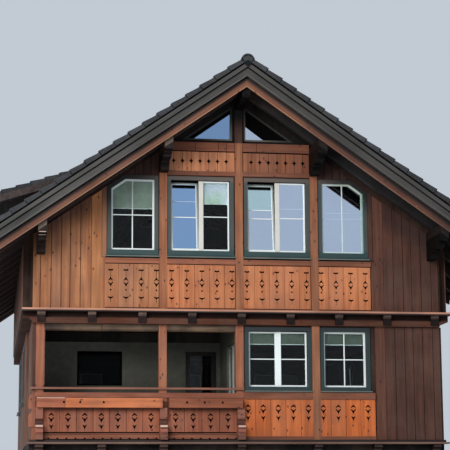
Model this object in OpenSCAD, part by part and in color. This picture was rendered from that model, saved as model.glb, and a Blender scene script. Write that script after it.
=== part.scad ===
// Alpine chalet: a rendered ground storey, a timber first floor with a
// recessed loggia behind carved boards, and a glazed attic under a wide tiled roof.
// Millimetres. Z is up, the front gable faces -Y, the origin is the middle of the footprint.

/* [House] */
// Width of the timber front
house_w = 8000; // [7600:50:9000]
// Length of the house from gable wall to gable wall
house_l = 10000; // [9600:100:12000]
// Height of the first floor above the ground
first_z = 2750; // [2650:10:3000]
// Height from the first floor up to the attic floor
storey_h = 2480; // [2440:10:2700]
// How far each long attic wall stands out past the first floor
jetty = 150; // [100:5:200]
// Height of the rafters' upper edge above the attic floor, at the corner of the front
knee_h = 1619; // [1560:1:1800]

/* [Walls and floors] */
// Thickness of the ground storey's rendered walls
masonry_t = 350; // [300:10:450]
// Thickness of the timber walls
timber_t = 150; // [120:5:180]
// Thickness of the long attic walls
attic_wall_t = 200; // [180:5:240]
// Thickness of the ground floor slab
slab_t = 150; // [100:10:250]
// Thickness of the first floor
first_deck_t = 190; // [160:5:220]
// Thickness of the attic floor
attic_deck_t = 164; // [140:2:200]

/* [Roof] */
// Pitch of the main roof in degrees
roof_pitch = 35; // [33:0.5:37]
// How far the tiles reach past the corner of the house, measured level
eave_over = 1276; // [1100:10:1500]
// How far the tiles reach past each gable wall
gable_over = 1300; // [1150:10:1500]
// How far the roof deck stays back from the tiles at the gable
deck_back = 200; // [160:10:260]
// How far the tiles reach past the roof deck at the eave, measured level
tile_nose = 46; // [36:2:60]
// How far the rafters stay back from the edge of the deck, measured level
rafter_back = 80; // [60:5:100]
// Thickness of the tile layer with its battens
tile_t = 110; // [90:1:120]
// Height of one tile's front edge over the course below
tile_step = 38; // [25:1:45]
// Visible length of one tile course
tile_gauge = 330; // [300:5:360]
// Thickness of the boarded roof deck
deck_t = 196; // [160:2:220]
// Depth of a rafter
rafter_h = 160; // [140:5:200]
// Width of a rafter
rafter_w = 120; // [100:5:140]
// Distance of the last inner rafter from the gable wall
rafter_in = 600; // [500:10:700]
// Distance of the first outer rafter from the gable wall
rafter_out = 420; // [380:10:450]
// Number of rafters on each slope between the gable walls
rafter_count = 11; // [9:1:13]
// Radius of the ridge tiles
ridge_r = 125; // [110:1:140]
// Length of one ridge tile
ridge_tile_l = 400; // [350:10:500]
// Height of the ridge tiles above the line where the slopes meet
ridge_rise = -13; // [-20:1:20]
// Length of the collar that laps over the next ridge tile
ridge_collar_l = 50; // [40:2:70]
// How far the collar stands up
ridge_collar_t = 8; // [5:1:10]
// Distance down the slope from the ridge to the first tile's front edge
ridge_lap = 170; // [150:5:200]

/* [Verge] */
// Height of the upper verge board
verge_top_h = 100; // [90:2:110]
// Thickness of the upper verge board with its packing
verge_top_t = 170; // [140:5:190]
// Height of the lower verge board
verge_low_h = 136; // [120:2:150]
// Thickness of the lower verge board with its packing
verge_low_t = 120; // [90:5:130]
// Height of the barge board
barge_h = 160; // [140:5:180]
// Thickness of the barge board
barge_t = 30; // [25:1:45]

/* [Purlins] */
// Width of a purlin
purlin_w = 160; // [140:5:180]
// Height of a purlin
purlin_h = 240; // [200:5:260]
// How far a purlin reaches past the gable wall
purlin_over = 1050; // [900:10:1080]
// Distance of an eave purlin in from the corner of the house
eave_purlin_in = 170; // [150:5:200]
// Reach of the upper corbel under a purlin
corbel_1_l = 850; // [700:10:880]
// Height of the upper corbel
corbel_1_h = 100; // [80:5:120]
// Reach of the lower corbel under a purlin
corbel_2_l = 450; // [350:10:600]
// Height of the lower corbel
corbel_2_h = 160; // [120:5:180]

/* [Front grid] */
// Distance from the centre post to the next post
bay_w = 1484; // [1440:4:1520]
// Width of a post
post_w = 150; // [130:2:160]
// How far a post stands out from the attic front
post_t = 60; // [55:1:80]
// Width of the pale board beside the outer windows
jamb_board_w = 193; // [160:1:220]
// Thickness of a cover board
cover_t = 25; // [20:1:30]
// Gap between the centre post and the trim of the wide windows
centre_gap = 24; // [10:1:40]
// Gap between a side post and the trim of the wide window
side_gap = 2; // [1:1:12]
// Gap between a side post and the trim of the outer window
outer_gap = 16; // [10:1:24]
// Distance from the outer window's trim to the end of the last carved board
jamb_gap = 77; // [60:1:90]
// Distance from the end of the last carved board to the pale board
jamb_set = 27; // [10:1:40]
// Width of the last carved board that a strip beside the pale board takes
jamb_strip_in = 37; // [20:1:50]

/* [Windows] */
// Width of the windows in the side, back and ground storey walls
plain_window_w = 1150; // [1000:10:1250]
// Height of the attic windows
attic_window_h = 1391; // [1300:1:1400]
// Height of the attic windows' lower edge above the attic floor
attic_sill_h = 1169; // [1160:1:1200]
// Height of the windows in the lower storeys
low_window_h = 1076; // [950:2:1100]
// Height of the first floor windows' lower edge above the floor
first_sill_h = 1030; // [1000:2:1080]
// Height of the ground storey windows' lower edge above the slab
ground_sill_h = 900; // [850:10:1000]
// Width of the trim around a window
trim_w = 75; // [60:1:80]
// Width of a window frame's members
frame_w = 40; // [35:1:60]
// Width of the two meeting stiles together
stile_w = 128; // [100:1:150]
// Depth of a window frame
frame_t = 70; // [60:1:75]
// How far a frame stands back from a timber wall's face
frame_set = 30; // [20:1:40]
// Thickness of the glass
pane_t = 8; // [6:1:24]
// Height of the triangular gable windows' lower edge above the attic floor
gable_sill_h = 3370; // [3340:2:3400]
// How far a sill stands out
sill_out = 90; // [70:5:100]
// Thickness of a sill
sill_t = 20; // [15:1:30]
// Distance from the front gable to the middle of the first side window
side_window_y = 4300; // [4100:50:4500]
// Distance between the middles of the two side windows
side_window_pitch = 3300; // [3000:50:3500]
// Distance between the middles of the back windows
back_window_pitch = 2500; // [2200:50:2600]
// Distance of the outer ground storey windows from the middle of the front
front_window_x = 2600; // [2500:10:2800]
// Distance between the two ground storey windows on the left of the front
front_window_pitch = 1700; // [1600:10:1800]

/* [Doors] */
// Width of the entrance door opening
door_w = 1000; // [900:10:1100]
// Height of the entrance door opening
door_h = 2080; // [2000:10:2200]
// Distance of the entrance door from the middle of the front
door_x = 750; // [600:10:900]
// Thickness of the door leaves
leaf_t = 60; // [50:1:70]
// Width of the stiles and rails round the entrance door's panels
door_stile_w = 150; // [120:5:180]
// Depth of the entrance door's panels
panel_depth = 15; // [10:1:20]
// Width of the stiles round the loggia door's light
light_stile_w = 90; // [80:2:110]
// Height of the loggia door's solid lower part
door_kick_h = 750; // [650:10:850]
// Width of the loggia door opening
loggia_door_w = 640; // [600:10:680]
// Height of the loggia door opening
loggia_door_h = 1932; // [1900:4:2000]

/* [Attic parapet] */
// Width that one carved board takes
board_pitch = 293.3; // [285:0.1:295]
// Thickness of a carved board
board_t = 25; // [20:1:30]
// Gap between two boards
board_gap = 4; // [3:0.5:8]
// Number of boards on each side of the centre post
boards_per_side = 9; // [7:1:9]
// Height of the boards' lower edge above the attic floor
attic_board_foot = 35; // [28:1:50]
// Height of the top rail's lower edge above the attic floor
attic_rail_foot = 900; // [880:5:910]
// Height of the top rail
attic_rail_h = 115; // [100:1:130]
// Thickness of the rails
rail_t = 70; // [65:1:80]
// Height of the battens behind the carved boards
batten_h = 60; // [50:1:75]

/* [Gable band] */
// Height of the gable band's lower edge above the attic floor
band_foot = 2650; // [2645:1:2680]
// Height of the band's lower rail
band_low_rail_h = 85; // [70:1:90]
// Height of the band's boards
band_board_h = 408; // [380:2:420]
// Height of the band's upper rail
band_top_rail_h = 170; // [150:2:180]
// Width that one board of the band takes
band_pitch = 172; // [160:1:180]
// Height of the band's battens
band_batten_h = 40; // [30:1:50]

/* [Loggia] */
// Depth of the loggia from the front to its back wall
loggia_d = 2400; // [2000:20:2800]
// Distance of the loggia door from the middle of the house
loggia_door_x = 430; // [400:10:480]
// Distance of the loggia's back window from the middle of the house
loggia_window_x = 2520; // [2400:10:2700]
// Width of the loggia's windows
loggia_window_w = 920; // [800:10:1000]
// Height of the back window's lower edge above the floor
loggia_window_foot = 1222; // [1150:2:1250]
// Height of the back window
loggia_window_h = 705; // [650:5:750]
// Distance of the loggia's side window from the front
loggia_side_y = 950; // [850:10:1100]
// Height of the side window's lower edge above the floor
loggia_side_foot = 900; // [850:10:950]
// Height of the side window
loggia_side_h = 1032; // [900:4:1040]
// How far the loggia's side wall stands left of the centre post's middle
loggia_wall_in = 30; // [20:1:40]
// Distance of the corner post from the middle of the house
corner_x = 3815; // [3760:5:3815]
// Thickness of the boarded cheek on the loggia's open side
cheek_t = 60; // [40:1:60]
// Height of the handrail's upper edge above the floor
handrail_z = 1003; // [950:1:1050]
// Height of the handrail
handrail_h = 37; // [30:1:45]
// Depth of the handrail
handrail_t = 60; // [50:1:80]
// How far the handrail reaches past the cheek
handrail_end = 10; // [5:1:20]
// Height of the board under the handrail
rail_board_h = 94; // [80:1:100]
// Height of the rail board's lower edge above the floor
rail_board_foot = 812; // [800:1:830]
// Height of the lower carved boards' foot above the floor
low_board_foot = 163; // [150:1:165]
// Height of the lower carved boards
low_board_h = 627; // [600:1:635]
// How much lower the right-hand boards start
right_board_drop = 78; // [60:1:85]
// How much higher their ornament sits
right_motif_rise = 170; // [100:5:200]
// Gap between the boards' upper end and the sill on the right
right_rail_gap = 35; // [30:1:45]
// Height of the strip over the scalloped apron
apron_strip_h = 30; // [25:1:35]
// How deep the apron's scallops are cut
scallop_h = 32; // [25:1:40]
// Boards in the wide bay
wide_bay_boards = 7; // [5:1:8]
// Boards in the narrow bay
narrow_bay_boards = 4; // [3:1:5]
// Height of the flower boxes
box_h = 177; // [150:1:190]
// Depth of the flower boxes
box_d = 180; // [150:5:220]
// Height of the flower boxes' foot above the floor
box_foot = 613; // [600:1:640]
// Thickness of a flower box's boards
box_t = 20; // [15:1:25]
// Width of one scallop of the apron
scallop_w = 165; // [140:1:180]
// Gap between a flower box and the middle of a bracket
box_gap = 25; // [15:1:40]
// Height of the rolled blind under the front beam
blind_h = 132; // [100:2:140]
// Gap between the two blinds of the wide bay
blind_gap = 10; // [5:1:20]
// Width of the brackets in front of the posts
bracket_w = 140; // [120:2:150]
// Reach of a bracket's blocks from the front
bracket_out = 240; // [220:5:245]
// How far the grooves between the blocks are cut back
bracket_groove = 40; // [20:1:50]
// Reach of a bracket's neck
bracket_neck = 150; // [120:5:170]
// Radius of the hollow under the neck
bracket_hollow = 55; // [40:1:60]
// Width of the shaped board beside the corner post
wing_w = 126; // [110:1:140]
// Width of its waist
wing_waist = 65; // [50:1:80]

/* [Ledges and beams] */
// Depth of the first floor ledge
first_ledge_d = 250; // [220:5:280]
// Thickness of the first floor ledge
first_ledge_t = 32; // [24:1:40]
// Distance of the first floor ledge's lower edge below the floor
first_ledge_drop = 60; // [50:1:70]
// How far the first floor ledge reaches past the corners
first_ledge_end = 44; // [30:1:60]
// Height of the sill beam on the first floor ledge
sill_beam_h = 46; // [40:1:56]
// How far the sill beam stands back from the ledge's edge
sill_beam_in = 100; // [80:5:110]
// Depth of the attic ledge
attic_ledge_d = 200; // [160:5:240]
// Height of the attic ledge
attic_ledge_h = 56; // [50:1:64]
// Distance of the attic ledge's lower edge below the floor
attic_ledge_drop = 51; // [45:1:60]
// How far the attic ledge reaches past the corners
attic_ledge_end = 16; // [10:1:30]
// How far the front beam stands out
beam_out = 100; // [80:5:120]
// Height of the front beam
beam_h = 108; // [100:2:120]
// How far the front beam's shaped ends reach past the corners
beam_end = 27; // [20:1:40]
// Radius of the hollow cut into the front beam's ends
beam_hollow = 75; // [50:1:85]
// Width of a joist head
joist_w = 154; // [140:2:160]
// How far the attic joist heads stand out
attic_joist_out = 150; // [120:5:155]
// How far the first floor joist heads stand out
first_joist_out = 200; // [160:5:215]
// Number of attic joist heads
attic_joists = 9; // [7:2:11]
// Distance of the last attic joist head in from the corner
joist_in = 174; // [150:2:200]
// How far the row of attic joist heads is off the middle
joist_shift = 23; // [0:1:30]
// How far the block in front of the beam stays back from a joist head's end and the beam's foot
joist_block_in = 20; // [10:1:30]

/* [Dormer] */
// Pitch of the shed dormer in degrees
dormer_pitch = 18; // [16:0.5:20]
// Distance from the ridge at which the dormer leaves the main roof
dormer_start = 400; // [350:10:600]
// Distance of the dormer's front cheek from the front gable wall
dormer_y = 4600; // [4300:20:4900]
// Length of the dormer between the outer faces of its cheeks
dormer_l = 3200; // [2900:20:3400]
// How far the dormer roof reaches past its cheeks
dormer_over = 350; // [250:10:400]
// How far the dormer roof reaches past its front
dormer_eave = 900; // [700:10:1000]
// Thickness of the dormer roof deck
dormer_deck_t = 150; // [130:2:180]
// Thickness of the dormer's walls
dormer_wall_t = 150; // [120:5:180]
// How far the dormer's tiles reach past its deck
dormer_nose = 30; // [20:2:40]
// Width of a dormer window
dormer_window_w = 1100; // [900:10:1150]
// Height of a dormer window
dormer_window_h = 560; // [480:10:600]
// Gap between the dormer windows
dormer_window_gap = 226; // [180:2:300]
// Height of the dormer windows' lower edge above the main roof
dormer_sill_h = 180; // [150:5:220]

/* [Hidden] */
$fn = 48;

tiny = 0.01;
mitre_gap = 0.6;
half_w = house_w / 2;
attic_z = first_z + storey_h;
attic_wall_x = half_w + jetty;
sin_p = sin(roof_pitch);
cos_p = cos(roof_pitch);
tan_p = tan(roof_pitch);
deck_low_d = tile_t + deck_t;
soffit_d = deck_low_d + rafter_h;
apex_z = attic_z + knee_h + half_w * tan_p + deck_low_d / cos_p;
tile_x = half_w + eave_over;
deck_x = tile_x - tile_nose;
rafter_x = deck_x - rafter_back;
deck_over = gable_over - deck_back;
slope_l = tile_x / cos_p;
courses = round((slope_l - ridge_lap) / tile_gauge);
gauge = (slope_l - ridge_lap) / courses;
verge_split_d = tile_t + verge_top_h;
verge_low_d = verge_split_d + verge_low_h;
barge_d = verge_low_d + barge_h;
mid_purlin_x = bay_w;
eave_purlin_x = half_w - eave_purlin_in;
centre_loggia_x = 0;
loggia_wall_x = centre_loggia_x - loggia_wall_in;
back_y = house_l;
beam_foot = attic_z - attic_deck_t - beam_h;
ground_top = first_z - first_deck_t;
first_ledge_z = first_z - first_ledge_drop;
sill_beam_top = first_ledge_z + first_ledge_t + sill_beam_h;
attic_ledge_z = attic_z - attic_ledge_drop;
attic_ledge_top = attic_ledge_z + attic_ledge_h;
attic_rail_top = attic_z + attic_rail_foot + attic_rail_h;
board_end_x = boards_per_side * board_pitch;
jamb_x = board_end_x + jamb_set;
rail_end_x = board_end_x - jamb_strip_in;
sill_end_x = board_end_x - jamb_gap + sill_t;
first_set = 2 * frame_set;
trim_t = 25;
drip_h = 12;
soffit_gap = 20;
wide_window_w = bay_w - post_w - 2 * trim_w - centre_gap - side_gap;
wide_x = post_w / 2 + centre_gap + trim_w + wide_window_w / 2;
slim_x0 = bay_w + post_w / 2 + outer_gap + trim_w;
slim_window_w = board_end_x - jamb_gap - trim_w - slim_x0;
slim_x = slim_x0 + slim_window_w / 2;
attic_sill_z = attic_z + attic_sill_h;
first_sill_z = first_z + first_sill_h;
ground_sill_z = slab_t + ground_sill_h;
first_rail_top = first_sill_z - trim_w - right_rail_gap;
low_board_z = first_z + low_board_foot;
side_window_ys = [side_window_y, side_window_y + side_window_pitch];
back_window_xs = [-back_window_pitch, 0, back_window_pitch];
front_window_xs = [-front_window_x, -front_window_x + front_window_pitch, front_window_x];
loggia_window = [-loggia_window_x, first_z + loggia_window_foot, loggia_window_w, loggia_window_h, 1];
loggia_side_window = [loggia_side_y, first_z + loggia_side_foot, loggia_window_w, loggia_side_h, 1];
sin_d = sin(dormer_pitch);
cos_d = cos(dormer_pitch);
tan_d = tan(dormer_pitch);
dormer_z = apex_z - (tan_p - tan_d) * dormer_start;
dormer_low_e = tile_t + dormer_deck_t;
dormer_tile_x = half_w + dormer_eave;
dormer_deck_x = dormer_tile_x - dormer_nose;
dormer_slope_l = dormer_tile_x / cos_d;
dormer_courses = floor((dormer_slope_l - dormer_meets_x(tile_step) / cos_d) / gauge);
dormer_end_y = dormer_y + dormer_l;
well_x0 = mid_purlin_x + purlin_w / 2;
well_x1 = eave_purlin_x - purlin_w / 2;
band_end_x = mid_purlin_x - purlin_w / 2;
band_board_z = attic_z + band_foot + band_low_rail_h;
band_top_z = band_board_z + band_board_h;
rafter_ys = concat(
    [-deck_over + rafter_w / 2, -rafter_out],
    [for (i = [0 : rafter_count - 1]) rafter_in + i * (house_l - 2 * rafter_in) / (rafter_count - 1)],
    [back_y + rafter_out, back_y + deck_over - rafter_w / 2]
);
attic_joist_xs = [for (i = [0 : attic_joists - 1])
    joist_shift + (i - (attic_joists - 1) / 2) * 2 * (half_w - joist_in) / (attic_joists - 1)];
half_joist_xs = [bay_w, (bay_w + corner_x) / 2, corner_x];
first_joist_xs = concat([0], half_joist_xs, -half_joist_xs);
loggia_post_xs = [-corner_x, -bay_w, centre_loggia_x];
attic_windows = [
    [-slim_x, attic_sill_z, slim_window_w, attic_window_h, 1],
    [-wide_x, attic_sill_z, wide_window_w, attic_window_h, 2],
    [wide_x, attic_sill_z, wide_window_w, attic_window_h, 2],
    [slim_x, attic_sill_z, slim_window_w, attic_window_h, 1]
];
attic_back_windows = [for (side = [-1, 1])
    [side * back_window_pitch / 2, attic_sill_z, plain_window_w, attic_window_h, 2]];
first_windows = [
    [wide_x, first_sill_z, wide_window_w, low_window_h, 2],
    [slim_x, first_sill_z, slim_window_w, low_window_h, 1]
];
first_back_windows = [for (x = back_window_xs)
    [x, first_sill_z, plain_window_w, low_window_h, 2]];
first_side_windows = [for (y = side_window_ys)
    [y, first_sill_z, plain_window_w, low_window_h, 2]];
ground_front_windows = [for (x = front_window_xs)
    [x, ground_sill_z, plain_window_w, low_window_h, 2]];
ground_back_windows = [for (x = back_window_xs)
    [x, ground_sill_z, plain_window_w, low_window_h, 2]];
ground_side_windows = [for (y = side_window_ys)
    [y, ground_sill_z, plain_window_w, low_window_h, 2]];
dormer_windows = [for (side = [-1, 1])
    [dormer_y + dormer_l / 2 + side * (dormer_window_w + dormer_window_gap) / 2,
     roof_z(half_w, 0) + dormer_sill_h, dormer_window_w, dormer_window_h, 2]];

function roof_z(x, d) = apex_z - d / cos_p - tan_p * abs(x);
function dormer_roof_z(x, e) = dormer_z - e / cos_d - tan_d * abs(x);
function on_slope(s, d) = [s * cos_p - d * sin_p, apex_z - s * sin_p - d * cos_p];
function dormer_meets_x(e) = dormer_start + (e / cos_d - tile_t / cos_p) / (tan_p - tan_d);
function on_dormer(s, e) = [s * cos_d - e * sin_d, dormer_z - s * sin_d - e * cos_d];

// Frames of reference and outlines

module from_front() {
    translate([0, -house_l / 2, 0])
        children();
}

// Extrudes an outline of X and Z between two Y planes
module along_y(y0, y1) {
    translate([0, y1, 0])
        rotate([90, 0, 0])
            linear_extrude(height = y1 - y0)
                children();
}

// Extrudes an outline of Y and Z between two X planes
module along_x(x0, x1) {
    translate([x0, 0, 0])
        rotate([90, 0, 90])
            linear_extrude(height = x1 - x0)
                children();
}

module box(x0, x1, y0, y1, z0, z1) {
    translate([x0, y0, z0])
        cube([x1 - x0, y1 - y0, z1 - z0]);
}

module both_sides() {
    children();
    mirror([1, 0, 0])
        children();
}

// Repeats what stands at the front gable at the back gable
module both_gables() {
    children();
    translate([0, house_l, 0])
        mirror([0, 1, 0])
            children();
}

module rect(x0, x1, z0, z1) {
    translate([x0, z0])
        square([x1 - x0, z1 - z0]);
}

// Pair of bands, one on each slope, that meet in a mitre at the ridge
module chevron(x_end, d_top, d_low) {
    for (side = [0, 1])
        mirror([side, 0])
            half_band(mitre_gap / 2, x_end, d_top, d_low);
}

// Band of the right-hand slope between two depths below the tile surface
module half_band(x0, x1, d_top, d_low) {
    polygon([
        [x0, roof_z(x0, d_low)], [x1, roof_z(x1, d_low)],
        [x1, roof_z(x1, d_top)], [x0, roof_z(x0, d_top)]
    ]);
}

// Everything under the roof, down to the ground, from a given depth
module below_roof(d) {
    polygon([
        [-tile_x, 0], [tile_x, 0], [tile_x, roof_z(tile_x, d)],
        [0, roof_z(0, d)], [-tile_x, roof_z(tile_x, d)]
    ]);
}

// Windows

module window_outline(win, grow = 0) {
    translate([win[0] - win[2] / 2 - grow, win[1] - grow])
        square([win[2] + 2 * grow, win[3] + 2 * grow]);
}

module window_lights(win) {
    x0 = win[0] - win[2] / 2 + frame_w;
    x1 = win[0] + win[2] / 2 - frame_w;
    z0 = win[1] + frame_w;
    z1 = win[1] + win[3] - frame_w;
    if (win[4] == 2) {
        rect(x0, win[0] - stile_w / 2, z0, z1);
        rect(win[0] + stile_w / 2, x1, z0, z1);
    } else {
        rect(x0, x1, z0, z1);
    }
}

module window_frame(win) {
    difference() {
        window_outline(win);
        window_lights(win);
    }
}

module window_trim(win) {
    difference() {
        window_outline(win, trim_w);
        window_outline(win);
    }
}

// The attic windows follow the rake of the roof with their upper corners
module raked(extra) {
    intersection() {
        children();
        below_roof(soffit_d + soffit_gap + extra);
    }
}

module attic_frame(win) {
    difference() {
        raked(trim_w)
            window_outline(win);
        raked(trim_w + frame_w)
            window_lights(win);
    }
}

module attic_trim(win) {
    difference() {
        raked(0)
            window_outline(win, trim_w);
        raked(trim_w)
            window_outline(win);
    }
}

// Triangular light beside the centre post, under the right-hand rake
module gable_light(inset) {
    x0 = post_w / 2 + trim_w / 2 + inset;
    z0 = attic_z + gable_sill_h + inset;
    intersection() {
        rect(x0, half_w, z0, apex_z);
        below_roof(soffit_d + soffit_gap + trim_w / 2 + inset);
    }
}

// Ground storey

module ground_slab() {
    color("gray")
        from_front()
            box(-half_w + masonry_t, half_w - masonry_t, masonry_t, back_y - masonry_t, 0, slab_t);
}

module door_opening_outline() {
    rect(door_x - door_w / 2, door_x + door_w / 2, slab_t, slab_t + door_h);
}

module ground_front_wall() {
    color("gainsboro")
        from_front()
            along_y(0, masonry_t)
                difference() {
                    rect(-half_w, half_w, 0, ground_top);
                    door_opening_outline();
                    for (win = ground_front_windows)
                        window_outline(win);
                }
}

module ground_back_wall() {
    color("gainsboro")
        from_front()
            along_y(back_y - masonry_t, back_y)
                difference() {
                    rect(-half_w, half_w, 0, ground_top);
                    for (win = ground_back_windows)
                        window_outline(win);
                }
}

module ground_side_wall(x0) {
    from_front()
        along_x(x0, x0 + masonry_t)
            difference() {
                rect(masonry_t, back_y - masonry_t, 0, ground_top);
                for (win = ground_side_windows)
                    window_outline(win);
            }
}

module ground_left_wall() {
    color("gainsboro")
        ground_side_wall(-half_w);
}

module ground_right_wall() {
    color("gainsboro")
        ground_side_wall(half_w - masonry_t);
}

module entrance_door() {
    panel_w = door_w - 2 * door_stile_w;
    panel_h = (door_h - 3 * door_stile_w) / 2;
    color("saddlebrown")
        from_front()
            difference() {
                along_y(masonry_t / 2, masonry_t / 2 + leaf_t)
                    door_opening_outline();
                for (i = [0, 1])
                    translate([door_x - panel_w / 2, masonry_t / 2 - tiny,
                               slab_t + door_stile_w + i * (panel_h + door_stile_w)])
                        cube([panel_w, panel_depth + tiny, panel_h]);
            }
}

// Floors, joist heads and ledges

module first_floor_deck() {
    color("peru")
        from_front()
            box(-half_w, half_w, 0, back_y, ground_top, first_z);
}

module attic_floor_deck() {
    color("peru")
        from_front()
            box(-attic_wall_x, attic_wall_x, 0, back_y, attic_z - attic_deck_t, attic_z);
}

// Joist end with a quarter-round cut out of its lower front edge
module joist_head(out, h) {
    cut_r = h * 0.55;
    difference() {
        translate([-joist_w / 2, -out, 0])
            cube([joist_w, out, h]);
        translate([-joist_w, -out, 0])
            rotate([0, 90, 0])
                cylinder(r = cut_r, h = 2 * joist_w);
    }
}

module joist_heads() {
    first_h = first_deck_t - first_ledge_drop;
    attic_h = attic_deck_t - attic_ledge_drop;
    color("sienna")
        from_front() {
            for (x = first_joist_xs)
                translate([x, 0, ground_top])
                    joist_head(first_joist_out, first_h);
            for (x = attic_joist_xs) {
                translate([x, 0, attic_z - attic_deck_t])
                    joist_head(attic_joist_out, attic_h);
                box(x - joist_w / 2, x + joist_w / 2, -attic_joist_out + joist_block_in, -beam_out,
                    beam_foot + joist_block_in, attic_z - attic_ledge_drop - attic_h / 3);
            }
        }
}

module ledges() {
    color("burlywood")
        from_front() {
            box(-half_w - first_ledge_end, half_w + first_ledge_end, -first_ledge_d, 0,
                first_ledge_z, first_ledge_z + first_ledge_t);
            box(-half_w, half_w, -first_ledge_d + sill_beam_in, 0,
                first_ledge_z + first_ledge_t, sill_beam_top);
            box(-attic_wall_x - attic_ledge_end, attic_wall_x + attic_ledge_end, -attic_ledge_d, 0,
                attic_ledge_z, attic_ledge_top);
        }
}

module front_beam() {
    x1 = half_w + beam_end;
    color("sienna")
        from_front()
            along_y(-beam_out, timber_t)
                difference() {
                    rect(-x1, x1, beam_foot, beam_foot + beam_h);
                    for (x = [-x1, x1])
                        translate([x, beam_foot])
                            circle(r = beam_hollow);
                }
}

// First floor walls

module first_front_wall() {
    color("peru")
        from_front()
            along_y(0, timber_t)
                difference() {
                    rect(centre_loggia_x + post_w / 2, half_w, first_z, beam_foot);
                    for (win = first_windows)
                        window_outline(win);
                }
}

module first_back_wall() {
    color("peru")
        from_front()
            along_y(back_y - timber_t, back_y)
                difference() {
                    rect(-half_w, half_w, first_z, attic_z - attic_deck_t);
                    for (win = first_back_windows)
                        window_outline(win);
                }
}

module first_left_wall() {
    color("peru")
        from_front()
            along_x(-half_w, -half_w + timber_t)
                difference() {
                    rect(loggia_d + timber_t, back_y - timber_t, first_z, attic_z - attic_deck_t);
                    for (win = first_side_windows)
                        window_outline(win);
                }
}

module first_right_wall() {
    color("peru")
        from_front()
            along_x(half_w - timber_t, half_w)
                difference() {
                    rect(timber_t, back_y - timber_t, first_z, attic_z - attic_deck_t);
                    for (win = first_side_windows)
                        window_outline(win);
                }
}

// Loggia

module loggia_door_outline() {
    rect(-loggia_door_x - loggia_door_w / 2, -loggia_door_x + loggia_door_w / 2,
         first_z, first_z + loggia_door_h);
}

module loggia_back_wall() {
    color("antiquewhite")
        from_front()
            along_y(loggia_d, loggia_d + timber_t)
                difference() {
                    rect(-half_w, loggia_wall_x + timber_t, first_z, attic_z - attic_deck_t);
                    loggia_door_outline();
                    window_outline(loggia_window);
                }
}

module loggia_side_wall() {
    color("antiquewhite")
        from_front()
            along_x(loggia_wall_x, loggia_wall_x + timber_t)
                difference() {
                    rect(timber_t, loggia_d, first_z, attic_z - attic_deck_t);
                    window_outline(loggia_side_window);
                }
}

module loggia_cheek() {
    x1 = -corner_x - post_w / 2;
    color("sienna")
        from_front() {
            box(x1 - cheek_t, x1, 0, timber_t, first_z, beam_foot);
            box(x1 - cheek_t, x1, timber_t, loggia_d, first_z, attic_z - attic_deck_t);
            translate([x1, 0, first_z])
                along_y(-board_t, 0)
                    wing_outline();
        }
}

// Shaped board outside the corner post, two lobes on a straight back
module wing_outline() {
    lobe_h = 168;
    lobe_feet = [262, 598];
    rect(-wing_waist, 0, lobe_feet[0], lobe_feet[1] + lobe_h);
    rect(-cheek_t / 2, 0, lobe_feet[0], handrail_z - handrail_h);
    for (z = lobe_feet) {
        rect(-wing_w, 0, z, z + lobe_h);
        intersection() {
            translate([0, z + lobe_h])
                circle(r = wing_w);
            rect(-wing_w, 0, z + lobe_h, z + lobe_h + wing_w);
        }
    }
}

module loggia_posts() {
    color("peru")
        from_front()
            for (x = loggia_post_xs)
                box(x - post_w / 2, x + post_w / 2, 0, timber_t, first_z, beam_foot);
}

module loggia_handrails() {
    x0 = -corner_x - post_w / 2 - cheek_t;
    x1 = centre_loggia_x + post_w / 2;
    color("sienna")
        from_front() {
            translate([0, 0, first_z + handrail_z - handrail_h])
                linear_extrude(height = handrail_h) {
                    translate([x0 - handrail_end, -handrail_t])
                        square([x1 - x0 + handrail_end, handrail_t]);
                    translate([x0 - handrail_end, -handrail_t / 2])
                        circle(d = handrail_t);
                }
            box(x0 + cheek_t, x1, -board_t, 0, first_z + rail_board_foot,
                first_z + rail_board_foot + rail_board_h);
        }
}

// Open wooden trough that hangs on the carved boards
module flower_box(x0, x1) {
    difference() {
        box(x0, x1, -2 * board_t - box_d, -2 * board_t, first_z + box_foot, first_z + box_foot + box_h);
        box(x0 + box_t, x1 - box_t, -2 * board_t - box_d + box_t, -2 * board_t - box_t,
            first_z + box_foot + box_t, first_z + box_foot + box_h + tiny);
    }
}

module flower_boxes() {
    color("sienna")
        from_front() {
            flower_box(-corner_x - post_w / 2 + box_gap, -bay_w - box_gap);
            flower_box(-bay_w + post_w / 2 + box_gap, centre_loggia_x + box_gap);
        }
}

// Bracket on the sill beam in front of a post: three blocks under a hollowed neck.
// Its upper two blocks are given by foot and height above the floor.
module loggia_bracket() {
    face = -2 * board_t;
    block_top = 96;
    upper_blocks = [[148, 71], [242, 50]];
    neck_foot = upper_blocks[1][0] + upper_blocks[1][1];
    along_x(-bracket_w / 2, bracket_w / 2)
        difference() {
            union() {
                rect(-bracket_out, face, sill_beam_top, first_z + block_top);
                rect(-bracket_out + bracket_groove, face, first_z + block_top, first_z + neck_foot);
                for (b = upper_blocks)
                    rect(-bracket_out, face, first_z + b[0], first_z + b[0] + b[1]);
                rect(-bracket_neck, face, first_z + neck_foot, first_z + box_foot);
            }
            translate([-bracket_neck, first_z + neck_foot + bracket_hollow])
                circle(r = bracket_hollow);
        }
}

module loggia_brackets() {
    color("sienna")
        from_front()
            for (x = loggia_post_xs)
                translate([x, 0, 0])
                    loggia_bracket();
}

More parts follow.
